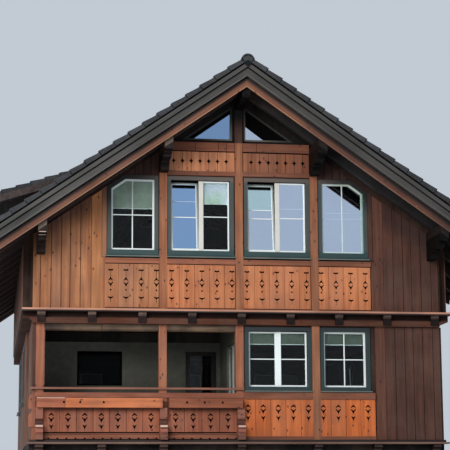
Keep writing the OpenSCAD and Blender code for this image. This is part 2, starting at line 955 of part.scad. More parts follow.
module loggia_blinds() {
    roll_r = blind_h / 2;
    mid = (-corner_x - bay_w) / 2;
    spans = [
        [-corner_x + post_w / 2, mid - blind_gap / 2], [mid + blind_gap / 2, -bay_w - post_w / 2],
        [-bay_w + post_w / 2, centre_loggia_x - post_w / 2]
    ];
    color("tan")
        from_front()
            for (s = spans)
                along_x(s[0], s[1])
                    union() {
                        rect(timber_t / 2 - roll_r, timber_t / 2 + roll_r,
                             beam_foot - roll_r, beam_foot);
                        translate([timber_t / 2, beam_foot - roll_r])
                            circle(r = roll_r);
                    }
}

module loggia_door() {
    color("white")
        from_front()
            along_y(loggia_d + frame_set, loggia_d + frame_set + leaf_t)
                difference() {
                    loggia_door_outline();
                    loggia_door_light();
                }
}

module loggia_door_light() {
    rect(-loggia_door_x - loggia_door_w / 2 + light_stile_w,
         -loggia_door_x + loggia_door_w / 2 - light_stile_w,
         first_z + door_kick_h, first_z + loggia_door_h - light_stile_w);
}

// Carved boards, drawn with the lower edge at zero and centred across

module diamond(w, h) {
    polygon([[-w / 2, 0], [0, -h / 2], [w / 2, 0], [0, h / 2]]);
}

// Pointed arch over a pointed bowl, round a disc that stays held by a bridge on each side
module arch_and_bowl(r, disc_r, tip, drop) {
    difference() {
        union() {
            circle(r = r);
            polygon([[-r * 0.6, r * 0.8], [0, tip], [r * 0.6, r * 0.8]]);
            polygon([[-r, 0], [0, -drop], [r, 0]]);
        }
        circle(r = disc_r);
        translate([0, 5])
            square([3 * r, 24], center = true);
    }
}

module attic_motif() {
    translate([0, 731])
        for (side = [-1, 1])
            polygon([[0, 10], [side * 32, 20], [side * 51, 8], [side * 42, -16], [side * 12, -14], [0, -28]]);
    rect(-4, 4, 590, 712);
    translate([0, 508])
        arch_and_bowl(52, 34, 94, 104);
    translate([0, 347])
        diamond(40, 48);
    translate([0, 206])
        for (side = [-1, 1])
            polygon([[0, 6], [side * 32, 8], [side * 52, 24], [side * 48, -8], [side * 8, -30], [0, -40]]);
    rect(-4, 4, 104, 180);
}

module loggia_motif() {
    translate([0, 284])
        arch_and_bowl(56, 34, 80, 109);
    difference() {
        polygon([[-42, 136], [0, 46], [42, 136]]);
        translate([0, 142])
            circle(r = 22);
    }
    rect(-4, 4, 18, 56);
}

module carved_board(x, foot, w, h) {
    translate([x, -board_t, first_z]) {
        along_y(-board_t, 0)
            difference() {
                translate([-w / 2, foot])
                    square([w, h]);
                translate([0, foot])
                    children();
            }
    }
}

module loggia_bay(x0, x1, count) {
    pitch = (x1 - x0) / count;
    for (i = [0 : count - 1])
        carved_board(x0 + (i + 0.5) * pitch, low_board_foot, pitch - board_gap, low_board_h)
            loggia_motif();
}

module loggia_carved_boards() {
    edge = bracket_w / 2 + board_gap / 2;
    color("peru")
        from_front() {
            loggia_bay(-corner_x + edge, -bay_w - edge, wide_bay_boards);
            loggia_bay(-bay_w + edge, centre_loggia_x - edge, narrow_bay_boards);
        }
}

// Space that the posts take out of boards and rails
module post_gaps(z0, z1) {
    for (x = [-bay_w, 0, bay_w])
        box(x - post_w / 2, x + post_w / 2, -max(post_t, rail_t) - board_t, 0, z0, z1);
}

module first_carved_boards() {
    color("peru")
        from_front()
            difference() {
                for (i = [0 : boards_per_side - 1])
                    carved_board((i + 0.5) * board_pitch, low_board_foot - right_board_drop,
                                 board_pitch - board_gap, low_board_h + right_board_drop)
                        translate([0, right_board_drop + right_motif_rise])
                            loggia_motif();
                post_gaps(first_z, attic_z);
                box(0, bracket_w / 2 + board_gap, -rail_t, 0, first_z, attic_z);
            }
}

module attic_carved_boards() {
    color("peru")
        from_front()
            difference() {
                for (i = [-boards_per_side : boards_per_side - 1])
                    translate([0, 0, attic_z - first_z])
                        carved_board((i + 0.5) * board_pitch, attic_board_foot,
                                     board_pitch - board_gap, attic_rail_foot - attic_board_foot)
                            attic_motif();
                post_gaps(attic_z, attic_z + attic_sill_h);
                both_sides()
                    box(rail_end_x, board_end_x, -2 * board_t, 0, attic_z, attic_rail_top);
            }
}

// Joint of two boards of the gable band, with a four-pointed star sawn out of their edges
module gable_joint() {
    rect(-board_gap / 2, board_gap / 2, -tiny, band_board_h + tiny);
    translate([0, band_board_h / 2]) {
        diamond(96, 46);
        diamond(46, 130);
    }
}

module gable_carved_boards() {
    color("peru")
        from_front()
            both_sides()
                along_y(-2 * board_t, -board_t)
                    difference() {
                        rect(post_w / 2 + board_gap, band_end_x - board_gap, band_board_z, band_top_z);
                        for (x = [post_w / 2 + band_pitch : band_pitch : band_end_x - band_pitch / 3])
                            translate([x, band_board_z])
                                gable_joint();
                    }
}

// Rails with a lip behind the boards, as an outline of Y and Z
module rail_outline(z0, z1, lip_z0, lip_z1) {
    rect(-rail_t, 0, z0, z1);
    rect(-board_t, 0, lip_z0, lip_z1);
}

module parapet_rails() {
    color("sienna")
        from_front() {
            difference() {
                along_x(-rail_end_x, rail_end_x)
                    rail_outline(attic_z + attic_rail_foot, attic_rail_top,
                                 attic_z + attic_rail_foot - batten_h, attic_rail_top);
                post_gaps(attic_z, attic_z + attic_sill_h);
            }
            difference() {
                along_x(-rail_end_x, rail_end_x)
                    rail_outline(attic_ledge_top, attic_z + attic_board_foot,
                                 attic_ledge_top, attic_z + attic_board_foot + batten_h);
                post_gaps(attic_z, attic_z + attic_sill_h);
            }
            both_sides() {
                along_x(post_w / 2, band_end_x)
                    rail_outline(attic_z + band_foot, band_board_z,
                                 attic_z + band_foot, band_board_z + band_batten_h);
                along_x(post_w / 2, band_end_x)
                    rail_outline(band_top_z, band_top_z + band_top_rail_h,
                                 band_top_z - band_batten_h, band_top_z + band_top_rail_h);
            }
            // Rail and battens of the right half of the first floor
            difference() {
                union() {
                    along_x(0, board_end_x)
                        rail_outline(first_z + low_board_foot + low_board_h, first_rail_top,
                                     first_z + low_board_foot + low_board_h - batten_h, first_rail_top);
                    along_x(0, board_end_x)
                        rail_outline(sill_beam_top, low_board_z - right_board_drop,
                                     sill_beam_top, low_board_z - right_board_drop + batten_h);
                }
                post_gaps(first_z, attic_z);
            }
            loggia_rail(-corner_x - post_w / 2, centre_loggia_x);
        }
}

// Battens behind the loggia's boards, and the scalloped apron at their foot
module loggia_rail(x0, x1) {
    apron_top = low_board_z - apron_strip_h;
    apron_foot = sill_beam_top + 20;
    scallops = floor((x1 - x0) / scallop_w);
    for (z = [low_board_z, low_board_z + low_board_h - batten_h])
        box(x0, x1, -board_t, 0, z, z + batten_h);
    box(x0, x1, -2 * board_t, 0, apron_top, low_board_z);
    along_y(-board_t, 0)
        difference() {
            rect(x0, x1, apron_foot, apron_top);
            for (i = [0 : scallops - 1])
                translate([x0 + (i + 0.5) * (x1 - x0) / scallops, apron_foot])
                    diamond(1.6 * scallop_h, 2 * scallop_h);
        }
}

// Attic walls

module purlin_outline(x) {
    polygon([
        [x - purlin_w / 2, roof_z(x, soffit_d) - purlin_h],
        [x + purlin_w / 2, roof_z(x, soffit_d) - purlin_h],
        [x + purlin_w / 2, roof_z(x + purlin_w / 2, soffit_d)],
        [x, roof_z(x, soffit_d)],
        [x - purlin_w / 2, roof_z(x - purlin_w / 2, soffit_d)]
    ]);
}

module all_purlin_outlines() {
    for (x = [-eave_purlin_x, -mid_purlin_x, 0, mid_purlin_x, eave_purlin_x])
        purlin_outline(x);
}

module gable_outline() {
    difference() {
        intersection() {
            rect(-half_w, half_w, attic_z, apex_z);
            below_roof(deck_low_d);
        }
        all_purlin_outlines();
    }
}

module attic_front_wall() {
    color("peru")
        from_front()
            along_y(0, timber_t)
                difference() {
                    gable_outline();
                    for (win = attic_windows)
                        raked(trim_w)
                            window_outline(win);
                    both_sides()
                        gable_light(0);
                }
}

module attic_back_wall() {
    color("peru")
        from_front()
            along_y(back_y - timber_t, back_y)
                difference() {
                    gable_outline();
                    for (win = attic_back_windows)
                        raked(trim_w)
                            window_outline(win);
                    both_sides()
                        gable_light(0);
                }
}

module rafter_set() {
    for (y = rafter_ys)
        along_y(y - rafter_w / 2, y + rafter_w / 2)
            chevron(rafter_x, deck_low_d, soffit_d);
}

module attic_side_wall() {
    difference() {
        along_y(timber_t, back_y - timber_t)
            intersection() {
                rect(attic_wall_x - attic_wall_t, attic_wall_x, attic_z, apex_z);
                below_roof(deck_low_d);
            }
        rafter_set();
    }
}

module attic_right_wall() {
    color("peru")
        from_front()
            attic_side_wall();
}

module attic_left_wall() {
    color("peru")
        from_front()
            mirror([1, 0, 0])
                attic_side_wall();
}

module facade_posts() {
    foot = attic_ledge_top;
    corbels_h = corbel_1_h + corbel_2_h;
    color("peru")
        from_front() {
            along_y(-post_t, 0)
                rect(-post_w / 2, post_w / 2, foot, roof_z(0, soffit_d) - purlin_h);
            both_sides() {
                along_y(-post_t, 0)
                    rect(bay_w - post_w / 2, bay_w + post_w / 2, foot,
                         roof_z(bay_w, soffit_d) - purlin_h - corbels_h);
                along_y(-cover_t, 0)
                    intersection() {
                        rect(jamb_x, jamb_x + jamb_board_w, foot, apex_z);
                        below_roof(soffit_d + soffit_gap);
                    }
                along_y(-cover_t, 0)
                    rect(rail_end_x, jamb_x, foot, attic_rail_top);
            }
            along_y(-post_t, 0)
                rect(bay_w - post_w / 2, bay_w + post_w / 2,
                     sill_beam_top, beam_foot);
            along_y(-cover_t, 0)
                rect(jamb_x, jamb_x + jamb_board_w,
                     sill_beam_top, beam_foot);
        }
}

// Window joinery

module window_frames_ground() {
    set = masonry_t / 2;
    color("white")
        from_front() {
            along_y(set, set + frame_t)
                for (win = ground_front_windows)
                    window_frame(win);
            along_y(back_y - set - frame_t, back_y - set)
                for (win = ground_back_windows)
                    window_frame(win);
            both_sides()
                along_x(half_w - set - frame_t, half_w - set)
                    for (win = ground_side_windows)
                        window_frame(win);
        }
}

module window_frames_first() {
    color("white")
        from_front() {
            along_y(first_set, first_set + frame_t)
                for (win = first_windows)
                    window_frame(win);
            along_y(back_y - frame_set - frame_t, back_y - frame_set)
                for (win = first_back_windows)
                    window_frame(win);
            both_sides()
                along_x(half_w - frame_set - frame_t, half_w - frame_set)
                    for (win = first_side_windows)
                        window_frame(win);
            along_y(loggia_d + frame_set, loggia_d + frame_set + frame_t)
                window_frame(loggia_window);
            along_x(loggia_wall_x + frame_set, loggia_wall_x + frame_set + frame_t)
                window_frame(loggia_side_window);
        }
}

module window_frames_attic() {
    color("white")
        from_front() {
            along_y(frame_set, frame_set + frame_t)
                for (win = attic_windows)
                    attic_frame(win);
            along_y(back_y - frame_set - frame_t, back_y - frame_set)
                for (win = attic_back_windows)
                    attic_frame(win);
            mirror([1, 0, 0])
                along_x(half_w - frame_set - frame_t, half_w - frame_set)
                    for (win = dormer_windows)
                        window_frame(win);
        }
}

module window_trims() {
    color("darkslategray")
        from_front() {
            for (win = attic_windows)
                along_y(-trim_t, 0)
                    attic_trim(win);
            for (win = first_windows)
                along_y(-trim_t, 0)
                    window_trim(win);
            for (win = attic_back_windows)
                along_y(back_y, back_y + trim_t)
                    attic_trim(win);
            for (win = first_back_windows)
                along_y(back_y, back_y + trim_t)
                    window_trim(win);
            both_sides()
                for (win = first_side_windows)
                    along_x(half_w, half_w + trim_t)
                        window_trim(win);
            both_gables()
                both_sides()
                    along_y(frame_set, frame_set + frame_t)
                        difference() {
                            gable_light(0);
                            gable_light(frame_w);
                        }
        }
}

// Sill between a rail and the trims over it, with a drip edge and an upstand, as an outline of Y and Z
module long_sill_outline(z0, z1) {
    foot = z0 + drip_h;
    polygon([
        [-sill_out, foot], [-sill_out / 2, foot], [-sill_out / 2, z0], [-tiny, z0], [-tiny, z1],
        [-trim_t, z1], [-trim_t, min(foot + 2 * sill_t, z1)], [-sill_out, foot + sill_t]
    ]);
}

// Sill under a trimmed window, from a wall's face at zero outwards along -Y
module trimmed_sill(win) {
    reach = win[2] / 2 + trim_w;
    translate([win[0] - reach, -sill_out, win[1] - trim_w - sill_t])
        cube([2 * reach, sill_out, sill_t]);
}

// Sill of a window in a rendered wall, from the frame out past the wall's face
module reveal_sill(win) {
    translate([win[0] - win[2] / 2, -sill_out / 2, win[1]])
        cube([win[2], masonry_t / 2 + sill_out / 2, sill_t]);
}

module window_sills() {
    color("dimgray")
        from_front() {
            difference() {
                union() {
                    along_x(-sill_end_x, sill_end_x)
                        long_sill_outline(attic_rail_top, attic_sill_z - trim_w);
                    along_x(post_w / 2, sill_end_x)
                        long_sill_outline(first_rail_top, first_sill_z - trim_w);
                }
                post_gaps(first_z, attic_sill_z);
            }
            translate([0, back_y, 0])
                rotate([0, 0, 180]) {
                    for (win = concat(first_back_windows, attic_back_windows))
                        trimmed_sill(win);
                    for (win = ground_back_windows)
                        reveal_sill(win);
                }
            for (win = ground_front_windows)
                reveal_sill(win);
            both_sides()
                translate([half_w, 0, 0])
                    rotate([0, 0, 90]) {
                        for (win = first_side_windows)
                            trimmed_sill(win);
                        for (win = ground_side_windows)
                            reveal_sill(win);
                    }
        }
}

module window_panes() {
    inset = frame_t / 2;
    color([0.6, 0.75, 0.8, 0.4])
        from_front() {
            along_y(frame_set + inset, frame_set + inset + pane_t)
                for (win = attic_windows)
                    raked(trim_w + frame_w)
                        window_lights(win);
            along_y(back_y - frame_set - inset - pane_t, back_y - frame_set - inset)
                for (win = concat(attic_back_windows, first_back_windows))
                    window_lights(win);
            both_gables()
                both_sides()
                    along_y(frame_set + inset, frame_set + inset + pane_t)
                        gable_light(frame_w);
            along_y(first_set + inset, first_set + inset + pane_t)
                for (win = first_windows)
                    window_lights(win);
            both_sides()
                along_x(half_w - frame_set - inset - pane_t, half_w - frame_set - inset)
                    for (win = first_side_windows)
                        window_lights(win);
            mirror([1, 0, 0])
                along_x(half_w - frame_set - inset - pane_t, half_w - frame_set - inset)
                    for (win = dormer_windows)
                        window_lights(win);
            along_y(masonry_t / 2 + inset, masonry_t / 2 + inset + pane_t)
                for (win = ground_front_windows)
                    window_lights(win);
            along_y(back_y - masonry_t / 2 - inset - pane_t, back_y - masonry_t / 2 - inset)
                for (win = ground_back_windows)
                    window_lights(win);
            both_sides()
                along_x(half_w - masonry_t / 2 - inset - pane_t, half_w - masonry_t / 2 - inset)
                    for (win = ground_side_windows)
                        window_lights(win);
            along_y(loggia_d + frame_set + inset, loggia_d + frame_set + inset + pane_t) {
                window_lights(loggia_window);
                loggia_door_light();
            }
            along_x(loggia_wall_x + frame_set + inset, loggia_wall_x + frame_set + inset + pane_t)
                window_lights(loggia_side_window);
        }
}

// Roof frame

module purlins() {
    color("sienna")
        from_front()
            along_y(-purlin_over, back_y + purlin_over)
                all_purlin_outlines();
}

// Two stepped corbels with rounded noses, as an outline of Y and Z below a purlin
module corbel_outline(top) {
    mid = top - corbel_1_h;
    low = mid - corbel_2_h;
    nose_1 = corbel_1_h * 0.7;
    nose_2 = corbel_2_h * 0.7;
    difference() {
        union() {
            rect(-corbel_1_l, 0, mid, top);
            rect(-corbel_2_l, 0, low, mid);
        }
        translate([-corbel_1_l, mid])
            circle(r = nose_1);
        translate([-corbel_2_l, low])
            circle(r = nose_2);
    }
}

module purlin_corbels() {
    color("sienna")
        from_front()
            both_gables()
                for (x = [-eave_purlin_x, -mid_purlin_x, mid_purlin_x, eave_purlin_x])
                    along_x(x - purlin_w / 2, x + purlin_w / 2)
                        corbel_outline(roof_z(x, soffit_d) - purlin_h);
}

module dormer_well(z0, z1) {
    box(-well_x1, -well_x0, dormer_y + dormer_wall_t, dormer_end_y - dormer_wall_t, z0, z1);
}

module rafters() {
    color("sienna")
        from_front()
            difference() {
                rafter_set();
                dormer_well(0, apex_z);
            }
}

module roof_deck_right() {
    color("tan")
        from_front()
            along_y(-deck_over, back_y + deck_over)
                half_band(0, deck_x, tile_t, deck_low_d);
}

module roof_deck_left() {
    color("tan")
        from_front()
            difference() {
                mirror([1, 0, 0])
                    along_y(-deck_over, back_y + deck_over)
                        half_band(0, deck_x, tile_t, deck_low_d);
                dormer_well(0, apex_z);
            }
}

// Stepped courses of tiles on the right-hand slope
module tile_outline() {
    surface_points = [for (i = [0 : courses - 1])
        each [on_slope(ridge_lap + i * gauge, tile_step), on_slope(ridge_lap + (i + 1) * gauge, 0)]];
    intersection() {
        polygon(concat(
            [[0, roof_z(0, tile_t)], [0, roof_z(0, tile_step)]],
            surface_points,
            [on_slope(slope_l, tile_t)]
        ));
        rect(0, tile_x + tile_t, 0, apex_z);
    }
}

module roof_tiles_right() {
    color("rosybrown")
        from_front()
            along_y(-gable_over, back_y + gable_over)
                tile_outline();
}

module roof_tiles_left() {
    color("rosybrown")
        from_front()
            mirror([1, 0, 0])
                difference() {
                    along_y(-gable_over, back_y + gable_over)
                        tile_outline();
                    along_y(dormer_y - dormer_over, dormer_end_y + dormer_over)
                        dormer_band(dormer_deck_x, 0, dormer_low_e);
                    box((dormer_start + dormer_meets_x(dormer_low_e)) / 2, half_w,
                        dormer_y, dormer_end_y, attic_z, apex_z);
                }
}

module ridge_outline(r) {
    difference() {
        union() {
            translate([0, apex_z + ridge_rise - ridge_r])
                circle(r = r);
            rect(-r, r, roof_z(r, tile_t), apex_z + ridge_rise - ridge_r);
        }
        below_roof(tile_step);
    }
}

module ridge_tiles() {
    total = house_l + 2 * gable_over;
    count = floor(total / ridge_tile_l);
    color("rosybrown")
        from_front() {
            along_y(-gable_over, back_y + gable_over)
                ridge_outline(ridge_r);
            for (i = [0 : count - 1])
                translate([0, -gable_over + i * total / count, 0])
                    along_y(0, ridge_collar_l)
                        ridge_outline(ridge_r + ridge_collar_t);
        }
}

module barge_boards() {
    color("chocolate")
        from_front()
            both_gables()
                along_y(-deck_over - barge_t, -deck_over)
                    chevron(rafter_x, verge_low_d, barge_d);
}

module verge_boards() {
    color("gray")
        from_front()
            both_gables()
                union() {
                    along_y(-deck_over - verge_low_t, -deck_over)
                        chevron(deck_x, verge_split_d, verge_low_d);
                    along_y(-deck_over - verge_top_t, -deck_over)
                        chevron(deck_x, tile_t, verge_split_d);
                }
}

module eave_fascias() {
    color("sienna")
        from_front()
            both_sides()
                along_y(-deck_over, back_y + deck_over)
                    intersection() {
                        rect(deck_x, deck_x + barge_t, 0, apex_z);
                        polygon([
                            [deck_x, roof_z(deck_x, deck_low_d)],
                            [tile_x, roof_z(tile_x, deck_low_d)],
                            [tile_x, roof_z(tile_x, tile_t)], [deck_x, roof_z(deck_x, tile_t)]
                        ]);
                    }
}

// Shed dormer, drawn on the right-hand slope and mirrored

module dormer_band(x_end, e_top, e_low) {
    polygon([
        [0, dormer_roof_z(0, e_low)], [x_end, dormer_roof_z(x_end, e_low)],
        [x_end, dormer_roof_z(x_end, e_top)], [0, dormer_roof_z(0, e_top)]
    ]);
}

// Band of the dormer roof between two depths, above the main roof deck
module dormer_roof_outline(x_end, e_top, e_low) {
    intersection() {
        dormer_band(x_end, e_top, e_low);
        above_deck();
    }
}

module above_deck() {
    polygon([
        [0, roof_z(0, tile_t)], [tile_x, roof_z(tile_x, tile_t)],
        [tile_x, apex_z], [0, apex_z]
    ]);
}

module below_dormer() {
    polygon([
        [0, 0], [tile_x, 0], [tile_x, dormer_roof_z(tile_x, dormer_low_e)],
        [0, dormer_roof_z(0, dormer_low_e)]
    ]);
}

module dormer_front_wall() {
    color("peru")
        from_front()
            mirror([1, 0, 0])
                difference() {
                    along_y(dormer_y, dormer_end_y)
                        intersection() {
                            rect(half_w - dormer_wall_t, half_w, 0, apex_z);
                            above_deck();
                            below_dormer();
                        }
                    along_x(half_w - dormer_wall_t - tiny, half_w + tiny)
                        for (win = dormer_windows)
                            window_outline(win);
                }
}

module dormer_cheeks() {
    color("peru")
        from_front()
            mirror([1, 0, 0])
                for (y = [dormer_y, dormer_end_y - dormer_wall_t])
                    along_y(y, y + dormer_wall_t)
                        intersection() {
                            rect(0, half_w - dormer_wall_t, 0, apex_z);
                            above_deck();
                            below_dormer();
                        }
}

module dormer_roof() {
    color("sienna")
        from_front()
            mirror([1, 0, 0])
                along_y(dormer_y - dormer_over, dormer_end_y + dormer_over)
                    dormer_roof_outline(dormer_deck_x, tile_t, dormer_low_e);
}

// Stepped courses of tiles, counted up from the dormer's eave, under a plain strip at its top
module dormer_tile_outline() {
    start = dormer_slope_l - dormer_courses * gauge;
    surface_points = [for (i = [0 : dormer_courses - 1])
        each [on_dormer(start + i * gauge, tile_step), on_dormer(start + (i + 1) * gauge, 0)]];
    intersection() {
        polygon(concat(
            [on_dormer(0, tile_t), on_dormer(0, 0), on_dormer(start, 0)],
            surface_points,
            [on_dormer(dormer_slope_l, tile_t)]
        ));
        above_deck();
    }
}

module dormer_tiles() {
    color("rosybrown")
        from_front()
            mirror([1, 0, 0])
                along_y(dormer_y - dormer_over, dormer_end_y + dormer_over)
                    dormer_tile_outline();
}

ground_slab();
ground_front_wall();
ground_back_wall();
ground_left_wall();
ground_right_wall();
entrance_door();
first_floor_deck();
joist_heads();
first_front_wall();
first_back_wall();
first_left_wall();
first_right_wall();
loggia_back_wall();
loggia_side_wall();
loggia_cheek();
loggia_posts();
loggia_handrails();
flower_boxes();
loggia_brackets();
loggia_blinds();
loggia_door();
loggia_carved_boards();
first_carved_boards();
parapet_rails();
front_beam();
ledges();
attic_floor_deck();
attic_front_wall();
attic_back_wall();
attic_left_wall();
attic_right_wall();
facade_posts();
attic_carved_boards();
gable_carved_boards();
window_frames_ground();
window_frames_first();
window_frames_attic();
window_trims();
window_sills();
window_panes();
purlins();
purlin_corbels();
rafters();
roof_deck_left();
roof_deck_right();
roof_tiles_left();
roof_tiles_right();
ridge_tiles();
barge_boards();
verge_boards();
eave_fascias();
dormer_front_wall();
dormer_cheeks();
dormer_roof();
dormer_tiles();
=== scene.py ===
"""Looks of the alpine chalet: tiles, planks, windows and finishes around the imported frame.

Metres. Z is up, the front gable faces -Y, the origin is the middle of the footprint on the ground.
"""
import logging
import math
from dataclasses import dataclass
from enum import Enum
from typing import Callable, Optional, Sequence, Union

import bpy
import numpy as np
from mathutils import Matrix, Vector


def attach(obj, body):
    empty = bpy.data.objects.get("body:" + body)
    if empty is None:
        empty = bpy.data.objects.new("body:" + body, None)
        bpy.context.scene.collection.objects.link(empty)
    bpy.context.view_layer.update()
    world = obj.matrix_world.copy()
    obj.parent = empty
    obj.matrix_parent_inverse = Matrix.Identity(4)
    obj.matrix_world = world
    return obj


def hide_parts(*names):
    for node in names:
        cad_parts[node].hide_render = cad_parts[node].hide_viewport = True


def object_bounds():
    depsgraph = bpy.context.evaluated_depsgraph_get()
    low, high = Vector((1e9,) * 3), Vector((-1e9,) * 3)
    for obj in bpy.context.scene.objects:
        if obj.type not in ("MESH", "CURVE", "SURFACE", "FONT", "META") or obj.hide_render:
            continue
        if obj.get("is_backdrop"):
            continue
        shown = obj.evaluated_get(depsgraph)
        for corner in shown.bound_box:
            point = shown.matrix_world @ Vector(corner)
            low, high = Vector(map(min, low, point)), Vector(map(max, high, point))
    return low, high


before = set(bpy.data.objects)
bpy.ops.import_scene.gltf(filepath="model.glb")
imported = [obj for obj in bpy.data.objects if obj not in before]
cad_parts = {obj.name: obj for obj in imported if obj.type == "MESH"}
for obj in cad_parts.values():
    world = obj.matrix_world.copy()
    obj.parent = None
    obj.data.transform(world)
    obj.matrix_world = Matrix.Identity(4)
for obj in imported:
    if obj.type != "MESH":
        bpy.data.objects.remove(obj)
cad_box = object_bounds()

LOG = logging.getLogger("chalet")
Array = np.ndarray
Socket = bpy.types.NodeSocket
Feed = Union[float, Sequence[float], Socket]
Colour = tuple[float, float, float]
Shade = tuple[int, int, int]


def tint(shade: Shade) -> Colour:
    """Linear colour of a display colour.

    Args:
        shade: Display red, green and blue, 0 to 255.

    Returns:
        The three linear channels.
    """
    shown = np.array(shade) / 255.0
    linear = np.where(shown <= 0.04045, shown / 12.92, ((shown + 0.055) / 1.055) ** 2.4)
    return tuple(float(c) for c in linear)


def against(target: Shade, base: Shade) -> Colour:
    """Factor that turns one display colour into another.

    Args:
        target: The colour that is wanted.
        base: The colour that is there.

    Returns:
        Target over base, linear channel by channel.
    """
    return tuple(t / b for t, b in zip(tint(target), tint(base)))


# Sizes of the house


@dataclass(frozen=True)
class House:
    """Main sizes of the chalet, as the solids have them."""

    half_w: float = 4.0
    front: float = -5.0
    back: float = 5.0
    first_z: float = 2.75
    attic_z: float = 5.23
    ceiling_z: float = 5.06
    post_w: float = 0.15
    trim_w: float = 0.075
    trim_gap: float = 0.02
    jamb_x: float = 2.6667
    board_t: float = 0.016
    board_in: float = 0.002
    board_edge: float = 0.004
    carved_pitch: float = 0.2933
    band_pitch: float = 0.172
    loggia_pitch: float = 0.3124
    pitch: float = math.radians(35.0)
    knee: float = 1.619
    tile_t: float = 0.11
    deck_t: float = 0.196
    rafter_h: float = 0.16
    eave_over: float = 1.276
    gable_over: float = 1.3

    @property
    def rise(self) -> float:
        """Rise of the roof over a run of one."""
        return math.tan(self.pitch)

    @property
    def apex(self) -> float:
        """Height where the two tile surfaces meet."""
        covering = (self.tile_t + self.deck_t) / math.cos(self.pitch)
        return self.attic_z + self.knee + self.half_w * self.rise + covering

    @property
    def soffit_d(self) -> float:
        """Depth of the rafters' lower edge below the tile surface."""
        return self.tile_t + self.deck_t + self.rafter_h

    @property
    def trim_d(self) -> float:
        """Depth of the raked trims' upper edge below the tile surface."""
        return self.soffit_d + self.trim_gap

    def roof_z(self, x: Array, depth: float) -> Array:
        """Height of a plane under the tile surface.

        Args:
            x: Distances from the middle of the house.
            depth: Depth below the tile surface, measured square to it.

        Returns:
            The apex height less the depth over the cosine and less the run times the tangent of the pitch.
        """
        return self.apex - depth / math.cos(self.pitch) - self.rise * np.abs(x)


HOUSE = House()


# Shader trees


class Graph:
    """Lays out the nodes of one shader tree."""

    def __init__(self, tree: bpy.types.NodeTree) -> None:
        """Takes the tree that the nodes go into."""
        self.tree = tree

    def feed(self, socket: Socket, value: Feed) -> None:
        """Gives an input a link or a plain value.

        Args:
            socket: The input.
            value: A socket to link from, or the value itself.
        """
        if isinstance(value, bpy.types.NodeSocket):
            self.tree.links.new(value, socket)
        elif socket.type == "RGBA" and len(value) == 3:
            socket.default_value = (*value, 1.0)
        else:
            socket.default_value = value

    def lay(self, kind: str, values: dict, **settings: object) -> Sequence[Socket]:
        """Adds a node.

        Args:
            kind: Blender's name of the node type, without its prefix.
            values: What each input gets, by its name or number.
            **settings: Properties of the node.

        Returns:
            Its outputs.
        """
        node = self.tree.nodes.new(f"ShaderNode{kind}")
        for key, value in settings.items():
            setattr(node, key, value)
        for key, value in values.items():
            self.feed(node.inputs[key], value)
        return node.outputs

    def add(self, kind: str, values: dict, out: Union[int, str] = 0, **settings: object) -> Socket:
        """Adds a node and returns one of its outputs."""
        return self.lay(kind, values, **settings)[out]

    def math(self, operation: str, a: Feed, b: Feed = 0.0, clamp: bool = False) -> Socket:
        """Adds a Math node."""
        return self.add("Math", {0: a, 1: b}, operation=operation, use_clamp=clamp)

    def total(self, a: Socket, share_a: float, b: Socket, share_b: float) -> Socket:
        """Adds up two values, each times its share."""
        return self.math("ADD", self.math("MULTIPLY", a, share_a), self.math("MULTIPLY", b, share_b))

    def mix(self, share: Feed, a: Feed, b: Feed, blend: str = "MIX") -> Socket:
        """Mixes two colours."""
        return self.add("Mix", {0: share, 6: a, 7: b}, out=2, data_type="RGBA", blend_type=blend)

    def times(self, a: Feed, b: Feed) -> Socket:
        """Multiplies two colours."""
        return self.mix(1.0, a, b, "MULTIPLY")

    def even(self, level: Socket) -> Socket:
        """A grey of that level."""
        return self.add("CombineColor", {0: level, 1: level, 2: level})

    def span(self, value: Feed, low: Feed, high: Feed, to_low: float = 0.0, to_high: float = 1.0) -> Socket:
        """Maps a value from one span to another along a smooth step."""
        values = {"Value": value, "From Min": low, "From Max": high, "To Min": to_low, "To Max": to_high}
        return self.add("MapRange", values, interpolation_type="SMOOTHSTEP")

    def noise(self, vector: Feed, scale: float, detail: float = 3.0, rough: float = 0.55) -> Socket:
        """Fractal noise from 0 to 1."""
        values = {"Vector": vector, "Scale": scale, "Detail": detail, "Roughness": rough}
        return self.add("TexNoise", values)

    def stretch(self, vector: Feed, scale: Sequence[float]) -> Socket:
        """Scales a vector along its three axes."""
        return self.add("Mapping", {"Vector": vector, "Scale": scale})

    def split(self, vector: Feed) -> Sequence[Socket]:
        """X, Y and Z of a vector."""
        return self.lay("SeparateXYZ", {0: vector})

    def own_tone(self) -> Socket:
        """The tone that each part of a piece carries as an attribute."""
        return self.add("Attribute", {}, out="Fac", attribute_name="tone")


def shader_group(name: str, takes: dict, gives: dict,
                 lay: Callable[[Graph, dict], dict]) -> bpy.types.NodeTree:
    """Builds a shader node group once.

    Args:
        name: Name of the group.
        takes: Socket type of each input, with its default value.
        gives: Socket type of each output.
        lay: Lays out the nodes from the inputs and returns the outputs.

    Returns:
        The group.
    """
    tree = bpy.data.node_groups.new(name, "ShaderNodeTree")
    for key, (kind, value) in takes.items():
        socket = tree.interface.new_socket(name=key, in_out="INPUT", socket_type=kind)
        if value is not None:
            socket.default_value = value
    for key, kind in gives.items():
        tree.interface.new_socket(name=key, in_out="OUTPUT", socket_type=kind)
    graph = Graph(tree)
    start = tree.nodes.new("NodeGroupInput")
    end = tree.nodes.new("NodeGroupOutput")
    for key, socket in lay(graph, {key: start.outputs[key] for key in takes}).items():
        tree.links.new(socket, end.inputs[key])
    return tree


FLOAT, COLOUR, VECTOR = "NodeSocketFloat", "NodeSocketColor", "NodeSocketVector"
PLAIN = (1.0, 1.0, 1.0)
KNOT = tint((66, 34, 24))


